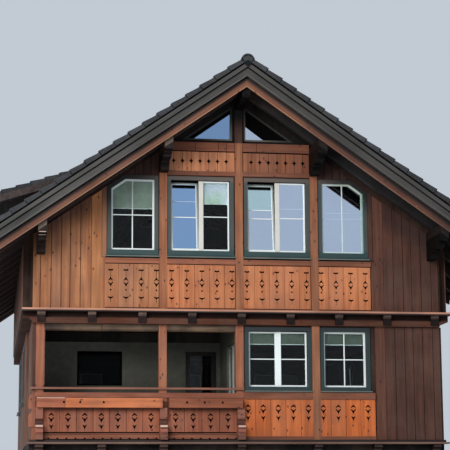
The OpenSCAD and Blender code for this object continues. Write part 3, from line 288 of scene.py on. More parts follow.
def lay_timber(g: Graph, given: dict) -> dict:
    """Grain of sawn timber along the vector's Z.

    Two noises drawn out along the grain give streaks and fibres. Small balls scattered through the wood
    leave a round dark knot with a paler halo wherever the surface cuts one.

    Args:
        g: Graph of the group.
        given: Sockets of its inputs, by name.

    Returns:
        Sockets for its outputs, by name.
    """
    vector, amount = given["Vector"], given["Tone Amount"]
    streak = g.noise(g.stretch(vector, (14.0, 14.0, 0.9)), 1.0, 4.0)
    fibre = g.noise(g.stretch(vector, (120.0, 120.0, 3.5)), 1.0, 2.0)
    body = g.total(streak, 0.62, g.noise(vector, 0.9, 2.0), 0.38)
    share = g.math("ADD", g.span(body, 0.36, 0.66), g.math("MULTIPLY", fibre, 0.24), clamp=True)
    colour = g.mix(share, given["Dark"], given["Light"])
    colour = g.mix(g.math("MULTIPLY", amount, g.span(given["Tone"], 0.55, 1.0)), colour, given["Grey"])
    dim = g.even(g.span(given["Tone"], 0.0, 0.5, 0.72, 1.0))
    colour = g.times(colour, g.mix(amount, PLAIN, dim))
    ball = g.add("TexVoronoi", {"Vector": g.stretch(vector, (1.0, 1.0, 0.6)), "Scale": 8.5})
    for core, rim, strength, dark in ((0.12, 0.30, 0.4, given["Dark"]), (0.09, 0.16, 1.0, KNOT)):
        mark = g.math("MULTIPLY", g.span(ball, core, rim, strength, 0.0), given["Knots"])
        colour = g.mix(mark, colour, dark)
    return {"Color": colour, "Height": g.total(streak, 0.5, fibre, 0.5),
            "Roughness": g.span(share, 0.0, 1.0, 0.78, 0.6)}


def lay_weather(g: Graph, given: dict) -> dict:
    """Weathering: patches of another tint, broken up by fine noise.

    Args:
        g: Graph of the group.
        given: Sockets of its inputs, by name.

    Returns:
        Sockets for its outputs, by name.
    """
    patch, fine = g.noise(given["Vector"], 1.7, 4.0, 0.62), g.noise(given["Vector"], 46.0, 3.0, 0.7)
    mask = g.math("MULTIPLY", g.span(g.total(patch, 0.7, fine, 0.3), 0.42, 0.64), given["Amount"])
    return {"Color": g.mix(mask, given["Color"], given["Tint"]), "Mask": mask}


def lay_fade(g: Graph, given: dict) -> dict:
    """Change along a coordinate: the factor is one at the near value and the tint at the far one."""
    share = g.span(given["Value"], given["Near"], given["Far"])
    return {"Color": g.times(given["Color"], g.mix(share, PLAIN, given["Tint"]))}


def lay_speckle(g: Graph, given: dict) -> dict:
    """Grit of mineral surfaces: coarse and fine noise on one another.

    Args:
        g: Graph of the group.
        given: Sockets of its inputs, by name.

    Returns:
        Sockets for its outputs, by name.
    """
    coarse, fine = g.noise(given["Vector"], 9.0, 5.0, 0.65), g.noise(given["Vector"], 150.0, 2.0, 0.6)
    both = g.total(coarse, 0.55, fine, 0.45)
    return {"Mask": g.span(both, 0.38, 0.62), "Height": both}


class Groups:
    """The shader groups that several finishes share."""

    def __init__(self) -> None:
        """Builds the four groups."""
        white, black = (COLOUR, (1, 1, 1, 1)), (COLOUR, (0, 0, 0, 1))
        vector, zero = (VECTOR, None), (FLOAT, 0.0)
        self.timber = shader_group("Sawn timber", {
            "Vector": vector, "Tone": (FLOAT, 0.5), "Tone Amount": zero, "Light": white, "Dark": black,
            "Grey": black, "Knots": zero,
        }, {"Color": COLOUR, "Height": FLOAT, "Roughness": FLOAT}, lay_timber)
        self.weather = shader_group("Weathering", {
            "Color": white, "Vector": vector, "Amount": zero, "Tint": black,
        }, {"Color": COLOUR, "Mask": FLOAT}, lay_weather)
        self.fade = shader_group("Fade", {
            "Color": white, "Value": zero, "Near": zero, "Far": (FLOAT, 1.0), "Tint": black,
        }, {"Color": COLOUR}, lay_fade)
        self.speckle = shader_group(
            "Speckle", {"Vector": vector}, {"Mask": FLOAT, "Height": FLOAT}, lay_speckle)


GROUPS = Groups()


class Along(Enum):
    """Direction of the grain, as the turn that brings it to Z."""

    X = (0.0, math.pi / 2, 0.0)
    Y = (math.pi / 2, 0.0, 0.0)
    Z = (0.0, 0.0, 0.0)
    SLOPE = (0.0, math.pi / 2 - HOUSE.pitch, 0.0)


class ToneFrom(Enum):
    """Where a board's own tone comes from: its piece, or a coordinate's number after a turn."""

    NONE = "none"
    PIECE = "piece"
    PITCH_X = (0, Along.Z)
    PITCH_SLOPE = (2, Along.SLOPE)


class Reach(Enum):
    """Coordinate that a fade follows: its number after a turn."""

    X = (0, Along.Z)
    DEPTH = (1, Along.Z)
    HEIGHT = (2, Along.Z)
    ROOF = (0, Along.SLOPE)


def place(g: Graph, along: Along) -> Socket:
    """Object coordinates turned so that the grain runs along Z.

    Args:
        g: The material's graph.
        along: Direction of the grain on the object.

    Returns:
        The turned coordinates. On a slope both halves of the roof are read as the right-hand one.
    """
    here = g.add("TexCoord", {}, out="Object")
    if along is Along.Z:
        return here
    if along is Along.SLOPE:
        x, y, z = g.split(here)
        here = g.add("CombineXYZ", {0: g.math("ABSOLUTE", x), 1: y, 2: z})
    return g.add("Mapping", {"Vector": here, "Rotation": along.value})


@dataclass(frozen=True)
class Fade:
    """A gradual change along one coordinate, to the colour times the factor."""

    reach: Reach
    near: float
    far: float
    factor: Colour

    def lay(self, g: Graph, colour: Feed) -> Socket:
        """Adds the fade to a material.

        Args:
            g: The material's graph.
            colour: The colour that fades.

        Returns:
            The faded colour. Under the roof the coordinate is the depth below the tile surface.
        """
        number, along = self.reach.value
        value = g.split(place(g, along))[number]
        if self.reach is Reach.ROOF:
            value = g.math("SUBTRACT", HOUSE.apex * math.cos(HOUSE.pitch), value)
        return g.add("Group", {"Color": colour, "Value": value, "Near": self.near, "Far": self.far,
                               "Tint": self.factor}, out="Color", node_tree=GROUPS.fade)


def new_material(name: str, along: Along = Along.Z) -> tuple[bpy.types.Material, Graph, Socket]:
    """Starts a node material.

    Args:
        name: Name of the material.
        along: Direction of its grain.

    Returns:
        The material, its graph and its turned coordinates.
    """
    material = bpy.data.materials.new(name)
    material.use_nodes = True
    graph = Graph(material.node_tree)
    return material, graph, place(graph, along)


def worn(g: Graph, colour: Feed, vector: Socket, amount: float, patch: Shade) -> Sequence[Socket]:
    """Weathers a colour.

    Args:
        g: The material's graph.
        colour: The clean colour.
        vector: Coordinates of the patches.
        amount: Share of the patches' colour where they show.
        patch: Colour of the patches.

    Returns:
        The weathered colour and the mask of the patches, by name.
    """
    values = {"Color": colour, "Vector": vector, "Amount": amount, "Tint": tint(patch)}
    return g.lay("Group", values, node_tree=GROUPS.weather)


def surfaced(material: bpy.types.Material, g: Graph, values: dict, bump: tuple[Socket, float],
             fades: Sequence[Fade] = (), relief: float = 0.004) -> bpy.types.Material:
    """Feeds the surface shader.

    Args:
        material: The material.
        g: Its graph.
        values: What the shader's inputs get, by name; a plain number is set on the shader itself.
        bump: Height and strength of the bump.
        fades: Changes that are laid over the base colour in turn.
        relief: Height of the bump in metres.

    Returns:
        The material.
    """
    for fade in fades:
        values["Base Color"] = fade.lay(g, values["Base Color"])
    height, strength = bump
    values["Normal"] = g.add("Bump", {"Height": height, "Strength": strength, "Distance": relief})
    shader = material.node_tree.nodes["Principled BSDF"]
    for key, value in values.items():
        g.feed(shader.inputs[key], value)
    return material


@dataclass(frozen=True)
class Timber:
    """A finish of sawn, planed or weathered wood."""

    name: str
    light: Shade
    dark: Shade
    grey: Shade = (120, 98, 90)
    along: Along = Along.Z
    tone_from: ToneFrom = ToneFrom.NONE
    tone: float = 0.0
    pitch: float = 0.2
    knots: float = 0.8
    weather: float = 0.25
    weather_tint: Shade = (92, 74, 66)
    ends: Optional[Shade] = None
    fades: tuple[Fade, ...] = ()
    bump: float = 0.35
    sheen: float = 0.3

    def tone_socket(self, g: Graph) -> Feed:
        """The board's own tone, from the piece's attribute or from its place in a row.

        Args:
            g: Graph of the material.

        Returns:
            The tone, as a number or a socket.
        """
        if self.tone_from is ToneFrom.NONE:
            return 0.5
        if self.tone_from is ToneFrom.PIECE:
            return g.own_tone()
        number, along = self.tone_from.value
        index = g.math("FLOOR", g.math("DIVIDE", g.split(place(g, along))[number], self.pitch))
        return g.add("TexWhiteNoise", {"W": index}, noise_dimensions="1D")

    def make(self) -> bpy.types.Material:
        """Builds the material.

        Returns:
            The material.
        """
        material, g, vector = new_material(self.name, self.along)
        grain = g.lay("Group", {
            "Vector": vector, "Tone": self.tone_socket(g), "Tone Amount": self.tone,
            "Light": tint(self.light), "Dark": tint(self.dark), "Grey": tint(self.grey), "Knots": self.knots,
        }, node_tree=GROUPS.timber)
        colour = worn(g, grain["Color"], vector, self.weather, self.weather_tint)["Color"]
        if self.ends:
            colour = self.end_grain(g, vector, colour)
        values = {"Base Color": colour, "Roughness": grain["Roughness"], "Specular IOR Level": self.sheen}
        return surfaced(material, g, values, (grain["Height"], self.bump), self.fades)

    def end_grain(self, g: Graph, vector: Socket, colour: Socket) -> Socket:
        """Paints the faces that look along the length with the colour of cut ends.

        Args:
            g: Graph of the material.
            vector: Coordinates with the grain along Z.
            colour: Colour of the long faces.

        Returns:
            The colour of all faces.
        """
        facing = g.math("ABSOLUTE", g.split(g.add("NewGeometry", {}, out="True Normal"))[1])
        rings = g.noise(g.stretch(vector, (1.0, 1.0, 0.1)), 38.0, 2.0)
        cut = tint(self.ends)
        cut = g.mix(g.span(rings, 0.35, 0.65), tuple(0.6 * c for c in cut), cut)
        return g.mix(g.span(facing, 0.8, 0.95), colour, cut)


@dataclass(frozen=True)
class Mineral:
    """A finish of render, concrete, cloth or fired clay."""

    name: str
    light: Shade
    dark: Shade
    patch: Shade
    patch_amount: float = 0.4
    bump: float = 0.4
    tone: float = 0.0
    sheen: float = 0.5
    fades: tuple[Fade, ...] = ()
    roughness: float = 0.85

    def make(self) -> bpy.types.Material:
        """Builds the material.

        Returns:
            The material.
        """
        material, g, vector = new_material(self.name)
        grit = g.lay("Group", {"Vector": vector}, node_tree=GROUPS.speckle)
        colour = g.mix(grit["Mask"], tint(self.dark), tint(self.light))
        if self.tone:
            level = g.span(g.own_tone(), 0.0, 1.0, 1.0 - self.tone, 1.0 + self.tone)
            colour = g.times(colour, g.even(level))
        colour = worn(g, colour, vector, self.patch_amount, self.patch)["Color"]
        values = {"Base Color": colour, "Roughness": self.roughness, "Specular IOR Level": self.sheen}
        return surfaced(material, g, values, (grit["Height"], self.bump), self.fades)


@dataclass(frozen=True)
class Paint:
    """A painted or coated finish with a little dirt."""

    name: str
    colour: Shade
    dirt: Shade
    amount: float = 0.3
    roughness: float = 0.4
    metallic: float = 0.0
    fades: tuple[Fade, ...] = ()

    def make(self) -> bpy.types.Material:
        """Builds the material.

        Returns:
            The material.
        """
        material, g, vector = new_material(self.name)
        coat = worn(g, tint(self.colour), vector, self.amount, self.dirt)
        rough = g.span(coat["Mask"], 0.0, 1.0, self.roughness, self.roughness + 0.25)
        brush = g.noise(g.stretch(vector, (60.0, 60.0, 6.0)), 1.0, 2.0)
        values = {"Base Color": coat["Color"], "Roughness": rough, "Metallic": self.metallic}
        return surfaced(material, g, values, (brush, 0.12), self.fades, relief=0.002)


@dataclass(frozen=True)
class Glass:
    """Window glass; a metallic share makes it a mirror, and its colour tints the mirror: a blue tint is
    painted sky reflection.
    """

    name: str
    colour: Colour
    mirror: float = 0.86
    ior: float = 1.45

    def make(self) -> bpy.types.Material:
        """Builds the material.

        Returns:
            The material.
        """
        material, g, vector = new_material(self.name)
        shade = g.mix(g.noise(vector, 1.3, 2.0), tuple(0.9 * c for c in self.colour), self.colour)
        rough = g.span(g.noise(vector, 30.0), 0.4, 0.9, 0.0, 0.04)
        values = {"Base Color": shade, "Roughness": rough, "Metallic": self.mirror,
                  "Transmission Weight": 1.0, "IOR": self.ior}
        return surfaced(material, g, values, (g.noise(vector, 1.6, 1.0), 0.25))


plank, post, shaded_post_top, green = (160, 100, 66), (158, 99, 66), (74, 46, 37), (50, 57, 55)
ledge, low_ledge, shade = (178, 126, 102), (112, 84, 70), (44, 29, 25)
barge, barge_edge_highlight = (114, 71, 50), (152, 110, 84)
planks = dict(tone_from=ToneFrom.PIECE, tone=0.6)
boards = dict(tone_from=ToneFrom.PITCH_X, tone=0.5)
# Painted shade under the eaves: the boards darken as they near the roof.
eaves_shade = Fade(Reach.ROOF, 0.86, 0.50, against((108, 66, 50), plank))
KINDS = {
    "planks": Timber("Wall planks", (174, 114, 72), (130, 79, 50), (136, 97, 77), **planks,
                     knots=1.0, fades=(eaves_shade,)),
    "shaded_planks": Timber("Shaded planks", (80, 45, 31), (55, 30, 22), (65, 39, 30), **planks,
                            fades=(Fade(Reach.ROOF, 1.05, 0.62, (0.50, 0.48, 0.56)),)),
    # A darker copy of the wall planks for the other walls: painted shade.
    "side_planks": Timber("Shaded side planks", (116, 74, 51), (82, 50, 36), (92, 66, 54), **planks,
                          knots=1.0, fades=(eaves_shade,)),
    # Darker above z 8.1: painted shade under the roof.
    "wall": Timber("Wall timber", (48, 32, 26), (34, 23, 19), sheen=0.1, fades=(
        Fade(Reach.HEIGHT, 8.1, 8.3, (0.30, 0.40, 0.50)),)),
    "under": Timber("Deck edge", (20, 17, 17), (13, 11, 11), along=Along.X, sheen=0.1),
    # Painted shade and painted light: the middle post darkens above the frieze and goes near-black towards
    # the ridge, the posts right of x 1.3 and the right-hand jamb are darker, the left-hand jamb lighter.
    "posts": Timber("Post timber", (156, 99, 64), (124, 73, 48), knots=1.0, fades=(
        Fade(Reach.HEIGHT, 8.53, 8.56, against(shaded_post_top, post)),
        Fade(Reach.HEIGHT, 8.80, 9.12, against((20, 17, 19), shaded_post_top)),
        Fade(Reach.X, -2.60, -2.68, against((178, 116, 72), post)),
        Fade(Reach.X, 1.30, 1.40, (0.81, 0.83, 0.89)),
        Fade(Reach.X, 2.58, 2.66, against((105, 63, 45), post)))),
    "loggia_posts": Timber("Loggia posts", (150, 92, 64), (126, 74, 52), knots=1.0),
    "carved": Timber("Carved boards", (190, 118, 75), (159, 92, 56), (159, 102, 74), **boards,
                     pitch=HOUSE.carved_pitch, fades=(
        Fade(Reach.X, -1.45, -1.55, (0.78, 0.90, 0.97)),)),
    "right_carved": Timber("Right-hand boards", (200, 103, 46), (156, 78, 36), (160, 92, 54),
                           **boards, pitch=HOUSE.carved_pitch),
    # Darker just under the flower boxes: painted shade.
    "low_carved": Timber("Loggia boards", (150, 84, 56), (120, 64, 42), (122, 73, 54), **boards,
                         pitch=HOUSE.loggia_pitch, fades=(
        Fade(Reach.HEIGHT, 3.27, 3.362, (0.36, 0.34, 0.36)),)),
    # The right half darker, more so towards its end: painted shade from the roof.
    "band": Timber("Gable boards", (197, 130, 88), (166, 101, 68), (176, 117, 92),
                   tone_from=ToneFrom.PITCH_X, tone=0.6, pitch=HOUSE.band_pitch, fades=(
        Fade(Reach.X, -0.1, 0.2, (0.50, 0.46, 0.46)), Fade(Reach.X, 0.8, 1.4, (0.66, 0.62, 0.64)))),
    # Darker above z 3.7: painted shade under the loggia's ceiling.
    "cheek": Timber("Cheek boards", (140, 84, 60), (104, 60, 44), fades=(
        Fade(Reach.HEIGHT, 3.62, 3.74, (0.28, 0.30, 0.34)),)),
    # Darker right of the middle post, and darker and cooler at the left end: painted shade.
    "boxes": Timber("Flower boxes", (186, 106, 62), (146, 80, 48), along=Along.X, fades=(
        Fade(Reach.X, -1.6, -1.45, (0.52, 0.50, 0.56)),
        Fade(Reach.X, -3.335, -3.345, (0.66, 0.66, 0.86)))),
    # Painted shade: the attic top rail is lighter in its lower part than in the strip under the sills, and
    # all rails are darker right of the middle.
    "rails": Timber("Rails", (136, 78, 53), (100, 56, 38), along=Along.X, fades=(
        Fade(Reach.HEIGHT, 6.195, 6.178, (1.12, 1.15, 1.14)),
        Fade(Reach.HEIGHT, 6.12, 6.10, (0.89, 0.87, 0.88)),
        Fade(Reach.X, -0.2, 0.3, (0.80, 0.82, 0.80)))),
    # Painted shade and painted light: dark under the flower boxes down to the block, the block lifted bright
    # as its lit face, the foot a little darker.
    "brackets": Timber("Brackets", (146, 90, 70), (110, 66, 52), along=Along.X, fades=(
        Fade(Reach.HEIGHT, 3.24, 3.06, (0.22, 0.20, 0.24)),
        Fade(Reach.HEIGHT, 3.045, 3.040, (4.4, 4.4, 3.6)),
        Fade(Reach.HEIGHT, 2.872, 2.862, (0.62, 0.72, 0.72)))),
    # Lighter and bluer on top: painted highlight of the sky.
    "handrail": Timber("Handrails", (144, 84, 60), (112, 62, 44), along=Along.X, knots=0.2, fades=(
        Fade(Reach.HEIGHT, 3.67, 3.70, (0.98, 1.25, 1.5)),)),
    # Dark tones and a much darker upper part: painted shade under the ledge.
    "beam": Timber("Front beam", (80, 45, 31), (56, 32, 22), along=Along.X, sheen=0.1, fades=(
        Fade(Reach.HEIGHT, 5.070, 5.110, (0.24, 0.26, 0.30)),)),
    # Painted shade: near-black below z 2.722 under the ledges, and the attic ledge's lower edge in the
    # darker tone; the pale band above z 5.205 is the attic ledge's own colour.
    "ledge": Timber("Ledges", low_ledge, (82, 58, 48), along=Along.X, knots=0.2, weather=0.4,
                    weather_tint=(92, 78, 70), fades=(
        Fade(Reach.HEIGHT, 2.722, 2.725, against(shade, low_ledge)),
        Fade(Reach.HEIGHT, 5.197, 5.205, against(ledge, shade)))),
    "awning": Timber("Rolled blinds", (104, 82, 63), (48, 38, 31), along=Along.X, knots=0.0,
                     weather=0.7, weather_tint=(40, 32, 28)),
    # Pale strips that stand for lit faces: painted highlight.
    "lath": Timber("Painted highlight strips", (196, 166, 150), (164, 134, 120), along=Along.X, knots=0.0),
    # Very dark boards, darker still on the right: painted shade under the roof.
    "soffit": Timber("Roof boarding", (52, 39, 36), (27, 21, 20), (42, 34, 32), along=Along.Y,
                     tone_from=ToneFrom.PITCH_SLOPE, tone=0.5, pitch=0.16, fades=(
        Fade(Reach.X, 0.1, 0.9, (0.20, 0.27, 0.38)),)),
    # Darker on the right: painted shade.
    "rafters": Timber("Rafters", (50, 36, 32), (29, 21, 19), along=Along.SLOPE, fades=(
        Fade(Reach.X, 0.1, 0.9, (0.26, 0.36, 0.48)),)),
    # Painted shade and painted light: near-black above z 8.9, deep under the roof and right of the middle;
    # lighter towards the left middle purlin's end.
    "purlins": Timber("Purlins", (46, 33, 28), (28, 20, 18), along=Along.Y, ends=(66, 55, 49),
                      sheen=0.1, fades=(
        Fade(Reach.HEIGHT, 8.9, 9.1, (0.12, 0.13, 0.16)),
        Fade(Reach.X, -1.0, -1.3, (2.2, 2.35, 2.35)),
        Fade(Reach.ROOF, 0.585, 0.600, (0.16, 0.15, 0.16)),
        Fade(Reach.X, 0.6, 1.2, (0.34, 0.36, 0.40)))),
    # Painted shade: the attic heads' lower part near-black, lifted back below z 2.70 for the first-floor
    # heads, and darker right of x -1.0.
    "joists": Timber("Joist heads", (50, 36, 30), (32, 23, 20), along=Along.Y, ends=(100, 82, 73),
                     sheen=0.1, fades=(
        Fade(Reach.HEIGHT, 5.116, 5.106, (0.16, 0.14, 0.15)),
        Fade(Reach.HEIGHT, 2.73, 2.70, (3.6, 3.8, 3.8)),
        Fade(Reach.X, -1.6, -1.0, (0.62, 0.62, 0.66)))),
    # Painted shade: a dark upper part, darker towards the ends and on the right; the pale lower edge is a
    # painted highlight.
    "barge": Timber("Barge boards", barge, (90, 52, 36), along=Along.SLOPE, weather=0.4,
                    weather_tint=(84, 60, 46), fades=(
        Fade(Reach.ROOF, 0.455, 0.375, (0.10, 0.13, 0.20)),
        Fade(Reach.ROOF, 0.488, 0.497, against(barge_edge_highlight, barge)),
        Fade(Reach.X, -1.3, -1.9, (0.82, 0.82, 0.82)),
        Fade(Reach.X, 0.8, 1.4, (0.62, 0.60, 0.66)),
        Fade(Reach.X, 3.0, 4.2, (0.62, 0.66, 0.66)))),
    "verge": Timber("Verge boards", (64, 61, 59), (43, 41, 40), along=Along.SLOPE, knots=0.3,
                    weather=0.5, weather_tint=(54, 57, 53), fades=(
        Fade(Reach.ROOF, 0.318, 0.336, (1.5, 1.5, 1.45)),)),
    "door": Timber("Entrance door", (112, 70, 46), (70, 42, 28)),
    "dark": Timber("Dark joinery", (26, 24, 23), (18, 17, 16), knots=0.0),
    # Near-black for real joints, and for the sheets and strips that paint shade.
    "gap": Timber("Dark joints and painted shade", (13, 11, 10), (8, 7, 7), knots=0.0, weather=0.0, sheen=0.0),
    "tile": Mineral("Roof tiles", (45, 46, 50), (28, 30, 34), (58, 58, 54), 0.35, tone=0.3),
    "tile_end": Mineral("Ridge ends", (20, 22, 26), (12, 14, 17), (26, 30, 33), sheen=0.1),
    "render": Mineral("Wall render", (214, 208, 194), (190, 184, 170), (176, 170, 156), 0.3),
    # Dark grey tones for the loggia's plaster, darker low down and towards the right: painted shade.
    "plaster": Mineral("Loggia plaster", (134, 134, 122), (114, 114, 106), (102, 104, 94), 0.3, 0.2,
                       fades=(Fade(Reach.HEIGHT, 4.35, 3.75, (0.44, 0.41, 0.37)),
                              Fade(Reach.X, -2.7, -1.5, (0.55, 0.54, 0.52)))),
    "concrete": Mineral("Floor slab", (150, 148, 142), (120, 118, 112), (110, 108, 100)),
    "blind": Mineral("Blind cloth", (164, 176, 160), (144, 158, 142), (158, 172, 140), 0.3, 0.15),
    # A darker copy of the blind cloth: painted shade.
    "shaded_blind": Mineral("Shaded blind cloth", (96, 106, 94), (82, 92, 80), (90, 102, 78), 0.3, 0.15),
    "voile": Mineral("Thin cloth", (232, 232, 250), (214, 220, 236), (168, 196, 160), 0.8, 0.1),
    "hem": Paint("Blind hem", (222, 228, 226), (190, 198, 200), 0.2, 0.5),
    "white": Paint("White paint", (216, 222, 220), (182, 184, 178), 0.25),
    "stile": Paint("Stile paint", (196, 192, 184), (170, 166, 158)),
    # A darker, greener copy of the white paint, darker still on the right stile and near the roof: painted
    # shade.
    "white_in_shade": Paint("White paint in shade", (190, 204, 206), (170, 178, 172), fades=(
        Fade(Reach.X, 2.440, 2.452, (0.52, 0.68, 0.62)),
        Fade(Reach.ROOF, 0.80, 0.72, (0.80, 0.78, 0.64)))),
    "shaded_white": Paint("Shaded paint", (158, 166, 160), (130, 138, 132), 0.4),
    # The white frames deep in the loggia, greyed: painted shade.
    "white_in_loggia_shade": Paint("White paint in loggia shade", (128, 132, 126), (100, 104, 98), 0.4),
    # Bars and hems in front of mirror glass, tinted blue: painted sky reflection.
    "sky_tinted_paint": Paint("Bars and hems with painted sky reflection", (166, 184, 206), (150, 166, 190), 0.2, 0.5),
    # Bluer green at the attic trims' foot. Painted shade: darker on the first floor, more so at its heads,
    # darker at the attic heads and near the roof; lifted a little on the gable above z 8.5.
    "green": Paint("Green paint", green, (66, 66, 60), 0.4, 0.5, fades=(
        Fade(Reach.HEIGHT, 6.46, 6.40, against((22, 50, 50), green)),
        Fade(Reach.HEIGHT, 5.0, 4.97, (0.62, 0.62, 0.66)),
        Fade(Reach.HEIGHT, 4.80, 4.86, (0.55, 0.42, 0.46)),
        Fade(Reach.HEIGHT, 4.98, 5.00, (1.82, 2.38, 2.17)),
        Fade(Reach.ROOF, 0.92, 0.74, (0.50, 0.52, 0.56)),
        Fade(Reach.HEIGHT, 7.74, 7.80, against((74, 66, 60), green)),
        Fade(Reach.HEIGHT, 8.3, 8.5, (1.35, 1.5, 1.4)),
        Fade(Reach.ROOF, 0.78, 0.56, (0.22, 0.24, 0.26)))),
    "metal": Paint("Sill sheet", (32, 58, 58), (56, 72, 68), 0.4, 0.35, 0.3, fades=(
        Fade(Reach.DEPTH, -5.080, -5.086, (7.0, 2.9, 2.5)),)),
    "clear": Glass("Clear glass", (0.86, 0.93, 0.93), 0.0, 1.25),
    "dim": Glass("Dim glass", (0.5, 0.56, 0.6), 0.0, 1.12),
    # Mirror glasses whose blue tints paint the sky's reflection.
    "sky": Glass("Glass with painted sky reflection", (0.73, 0.84, 1.0)),
    "pale_sky": Glass("Glass with pale painted sky reflection", (0.74, 0.97, 1.0)),
    "blue_sky_reflection": Glass("Glass with blue painted sky reflection", (0.38, 0.60, 0.92)),
    "gable_sky_reflection": Glass("Gable glass with painted sky reflection", (0.31, 0.48, 0.75)),
}


class Finishes:
    """Every material of the chalet, by a short name."""

    def __init__(self) -> None:
        """Makes the materials and sorts their names by slot."""
        self.made = {key: kind.make() for key, kind in KINDS.items()}
        by_slot = {
            "wall_timber": ("planks", "shaded_planks", "side_planks"), "roof_tile": ("tile", "tile_end"),
            "dark_timber": ("gap", "dark"), "post_timber": ("brackets",), "orange_timber": ("lath",),
            "glass": ("clear", "dim", "sky", "pale_sky", "blue_sky_reflection", "gable_sky_reflection"),
        }
        self.slots = {key: slot for slot, keys in by_slot.items() for key in keys}

    def __getitem__(self, key: str) -> bpy.types.Material:
        """The material of that short name."""
        return self.made[key]

    def slot(self, key: str) -> str:
        """The record's material slot of a new piece with that finish."""
        return self.slots.get(key, "white_paint")


# Shapes, worked out as whole arrays

MID_TONE = 0.5
TONES = (0.15, 0.95)


@dataclass
class Shape:
    """Points, faces and board tones of a mesh that is being put together."""

    points: Array
    faces: list[Array]
    tones: Array

    @staticmethod
    def join(parts: Sequence["Shape"]) -> "Shape":
        """Puts several shapes into one, without touching their points.

        Args:
            parts: The shapes, in the order in which their points follow.

        Returns:
            The joined shape.
        """
        starts = np.cumsum([0] + [len(part.points) for part in parts])
        faces = [face + start for part, start in zip(parts, starts) for face in part.faces]
        return Shape(np.concatenate([part.points for part in parts]), faces,
                     np.concatenate([part.tones for part in parts]))

    def moved(self, place_points: Callable[[Array], Array]) -> "Shape":
        """The same faces over points that a function has placed."""
        return Shape(place_points(self.points), self.faces, self.tones)

    def outward(self) -> "Shape":
        """Turns every face round if the signed volume of the closed shape is negative.

        Returns:
            The shape itself, or one with its faces turned.
        """
        corners = [self.points[face] for face in self.faces]
        volume = sum(
            float(np.einsum("ij,ij->", c[:, 0], np.cross(c[:, k], c[:, k + 1])))
            for c in corners for k in range(1, c.shape[1] - 1))
        if volume < 0:
            return Shape(self.points, [face[:, ::-1] for face in self.faces], self.tones)
        return self


def repeat_faces(template: Sequence[Array], size: int, count: int) -> list[Array]:
    """Faces of many like parts.

    Args:
        template: Faces of one part.
        size: Number of points in one part.
        count: Number of parts.

    Returns:
        The template's faces, shifted by the part's size for each part in turn.
    """
    shift = (np.arange(count) * size)[:, None, None]
    return [(face[None] + shift).reshape(-1, face.shape[1]) for face in template]


def box_template() -> tuple[Array, Array, list[Array]]:
    """Corner signs, free axis of each point and faces of a box with chamfered edges.

    Each corner has three points, one on each of its faces; the faces are six large ones, twelve
    chamfers and eight corner triangles.

    Returns:
        The signs of each point's corner, the point's axis, and the quads and triangles.
    """
    signs = np.array([[i & 1, i >> 1 & 1, i >> 2 & 1] for i in range(8)]) * 2 - 1
    corner = np.repeat(signs, 3, axis=0)
    axis = np.tile(np.arange(3), 8)
    where = corner * np.where(axis[:, None] == np.arange(3), 1.0, 0.8)
    quads = []
    ids = np.arange(24).reshape(8, 3)
    for a in range(3):
        b, c = (a + 1) % 3, (a + 2) % 3
        for side in (-1, 1):
            ring = [ids[(signs[:, a] == side) & (signs[:, b] == u) & (signs[:, c] == v)][0, a]
                    for u, v in ((-1, -1), (1, -1), (1, 1), (-1, 1))]
            quads.append(ring)
        for u in (-1, 1):
            for v in (-1, 1):
                low, high = ids[(signs[:, b] == u) & (signs[:, c] == v)]
                quads.append([low[b], low[c], high[c], high[b]])

    def face_out(faces: list) -> Array:
        """The faces, turned round where their normal points inwards.

        Args:
            faces: Point numbers of each face.

        Returns:
            The same faces as one array.
        """
        rows = np.array(faces)
        pts = where[rows]
        normal = np.cross(pts[:, 1] - pts[:, 0], pts[:, 2] - pts[:, 0])
        flip = np.einsum("ij,ij->i", normal, pts.mean(1)) < 0
        rows[flip] = rows[flip, ::-1]
        return rows

    return corner, axis, [face_out(quads), face_out(ids.tolist())]


BOX_CORNER, BOX_AXIS, BOX_FACES = box_template()


def boxes(rows: Sequence, near: float, far: float, chamfer: float = 0.003,
          tones: Optional[Array] = None, rake: Optional[Array] = None) -> Shape:
    """Many chamfered boxes at once.

    Args:
        rows: Two ends, foot and top of each box, along the wall and up.
        near: Depth of their faces.
        far: Depth of their backs.
        chamfer: Width that each edge is cut back; never over 0.4 of the smallest side.
        tones: Own tone of each box.
        rake: Slope of each box's top along the wall.

    Returns:
        The shape in along, depth and up. A point is the middle plus its corner's sign times half the
        size, pulled in by the chamfer along the two axes that are not its own. A raked top is lifted by
        the slope times the distance from the middle.
    """
    rows = np.atleast_2d(np.asarray(rows, float))
    count, size = len(rows), len(BOX_CORNER)
    low = np.stack([rows[:, 0], np.full(count, near), rows[:, 2]], axis=-1)
    high = np.stack([rows[:, 1], np.full(count, far), rows[:, 3]], axis=-1)
    half = (high - low) / 2
    bevel = np.minimum(chamfer, 0.4 * half.min(1) * 2)[:, None, None]
    own = BOX_AXIS[:, None] == np.arange(3)
    middle = ((low + high) / 2)[:, None]
    points = middle + BOX_CORNER[None] * (half[:, None] - np.where(own[None], 0.0, bevel))
    if rake is not None:
        lift = np.asarray(rake)[:, None] * (points[..., 0] - middle[..., 0])
        points[..., 2] += np.where(BOX_CORNER[None, :, 2] > 0, lift, 0.0)
    tones = np.full(count, MID_TONE) if tones is None else np.asarray(tones)
    return Shape(points.reshape(-1, 3), repeat_faces(BOX_FACES, size, count), np.repeat(tones, size))


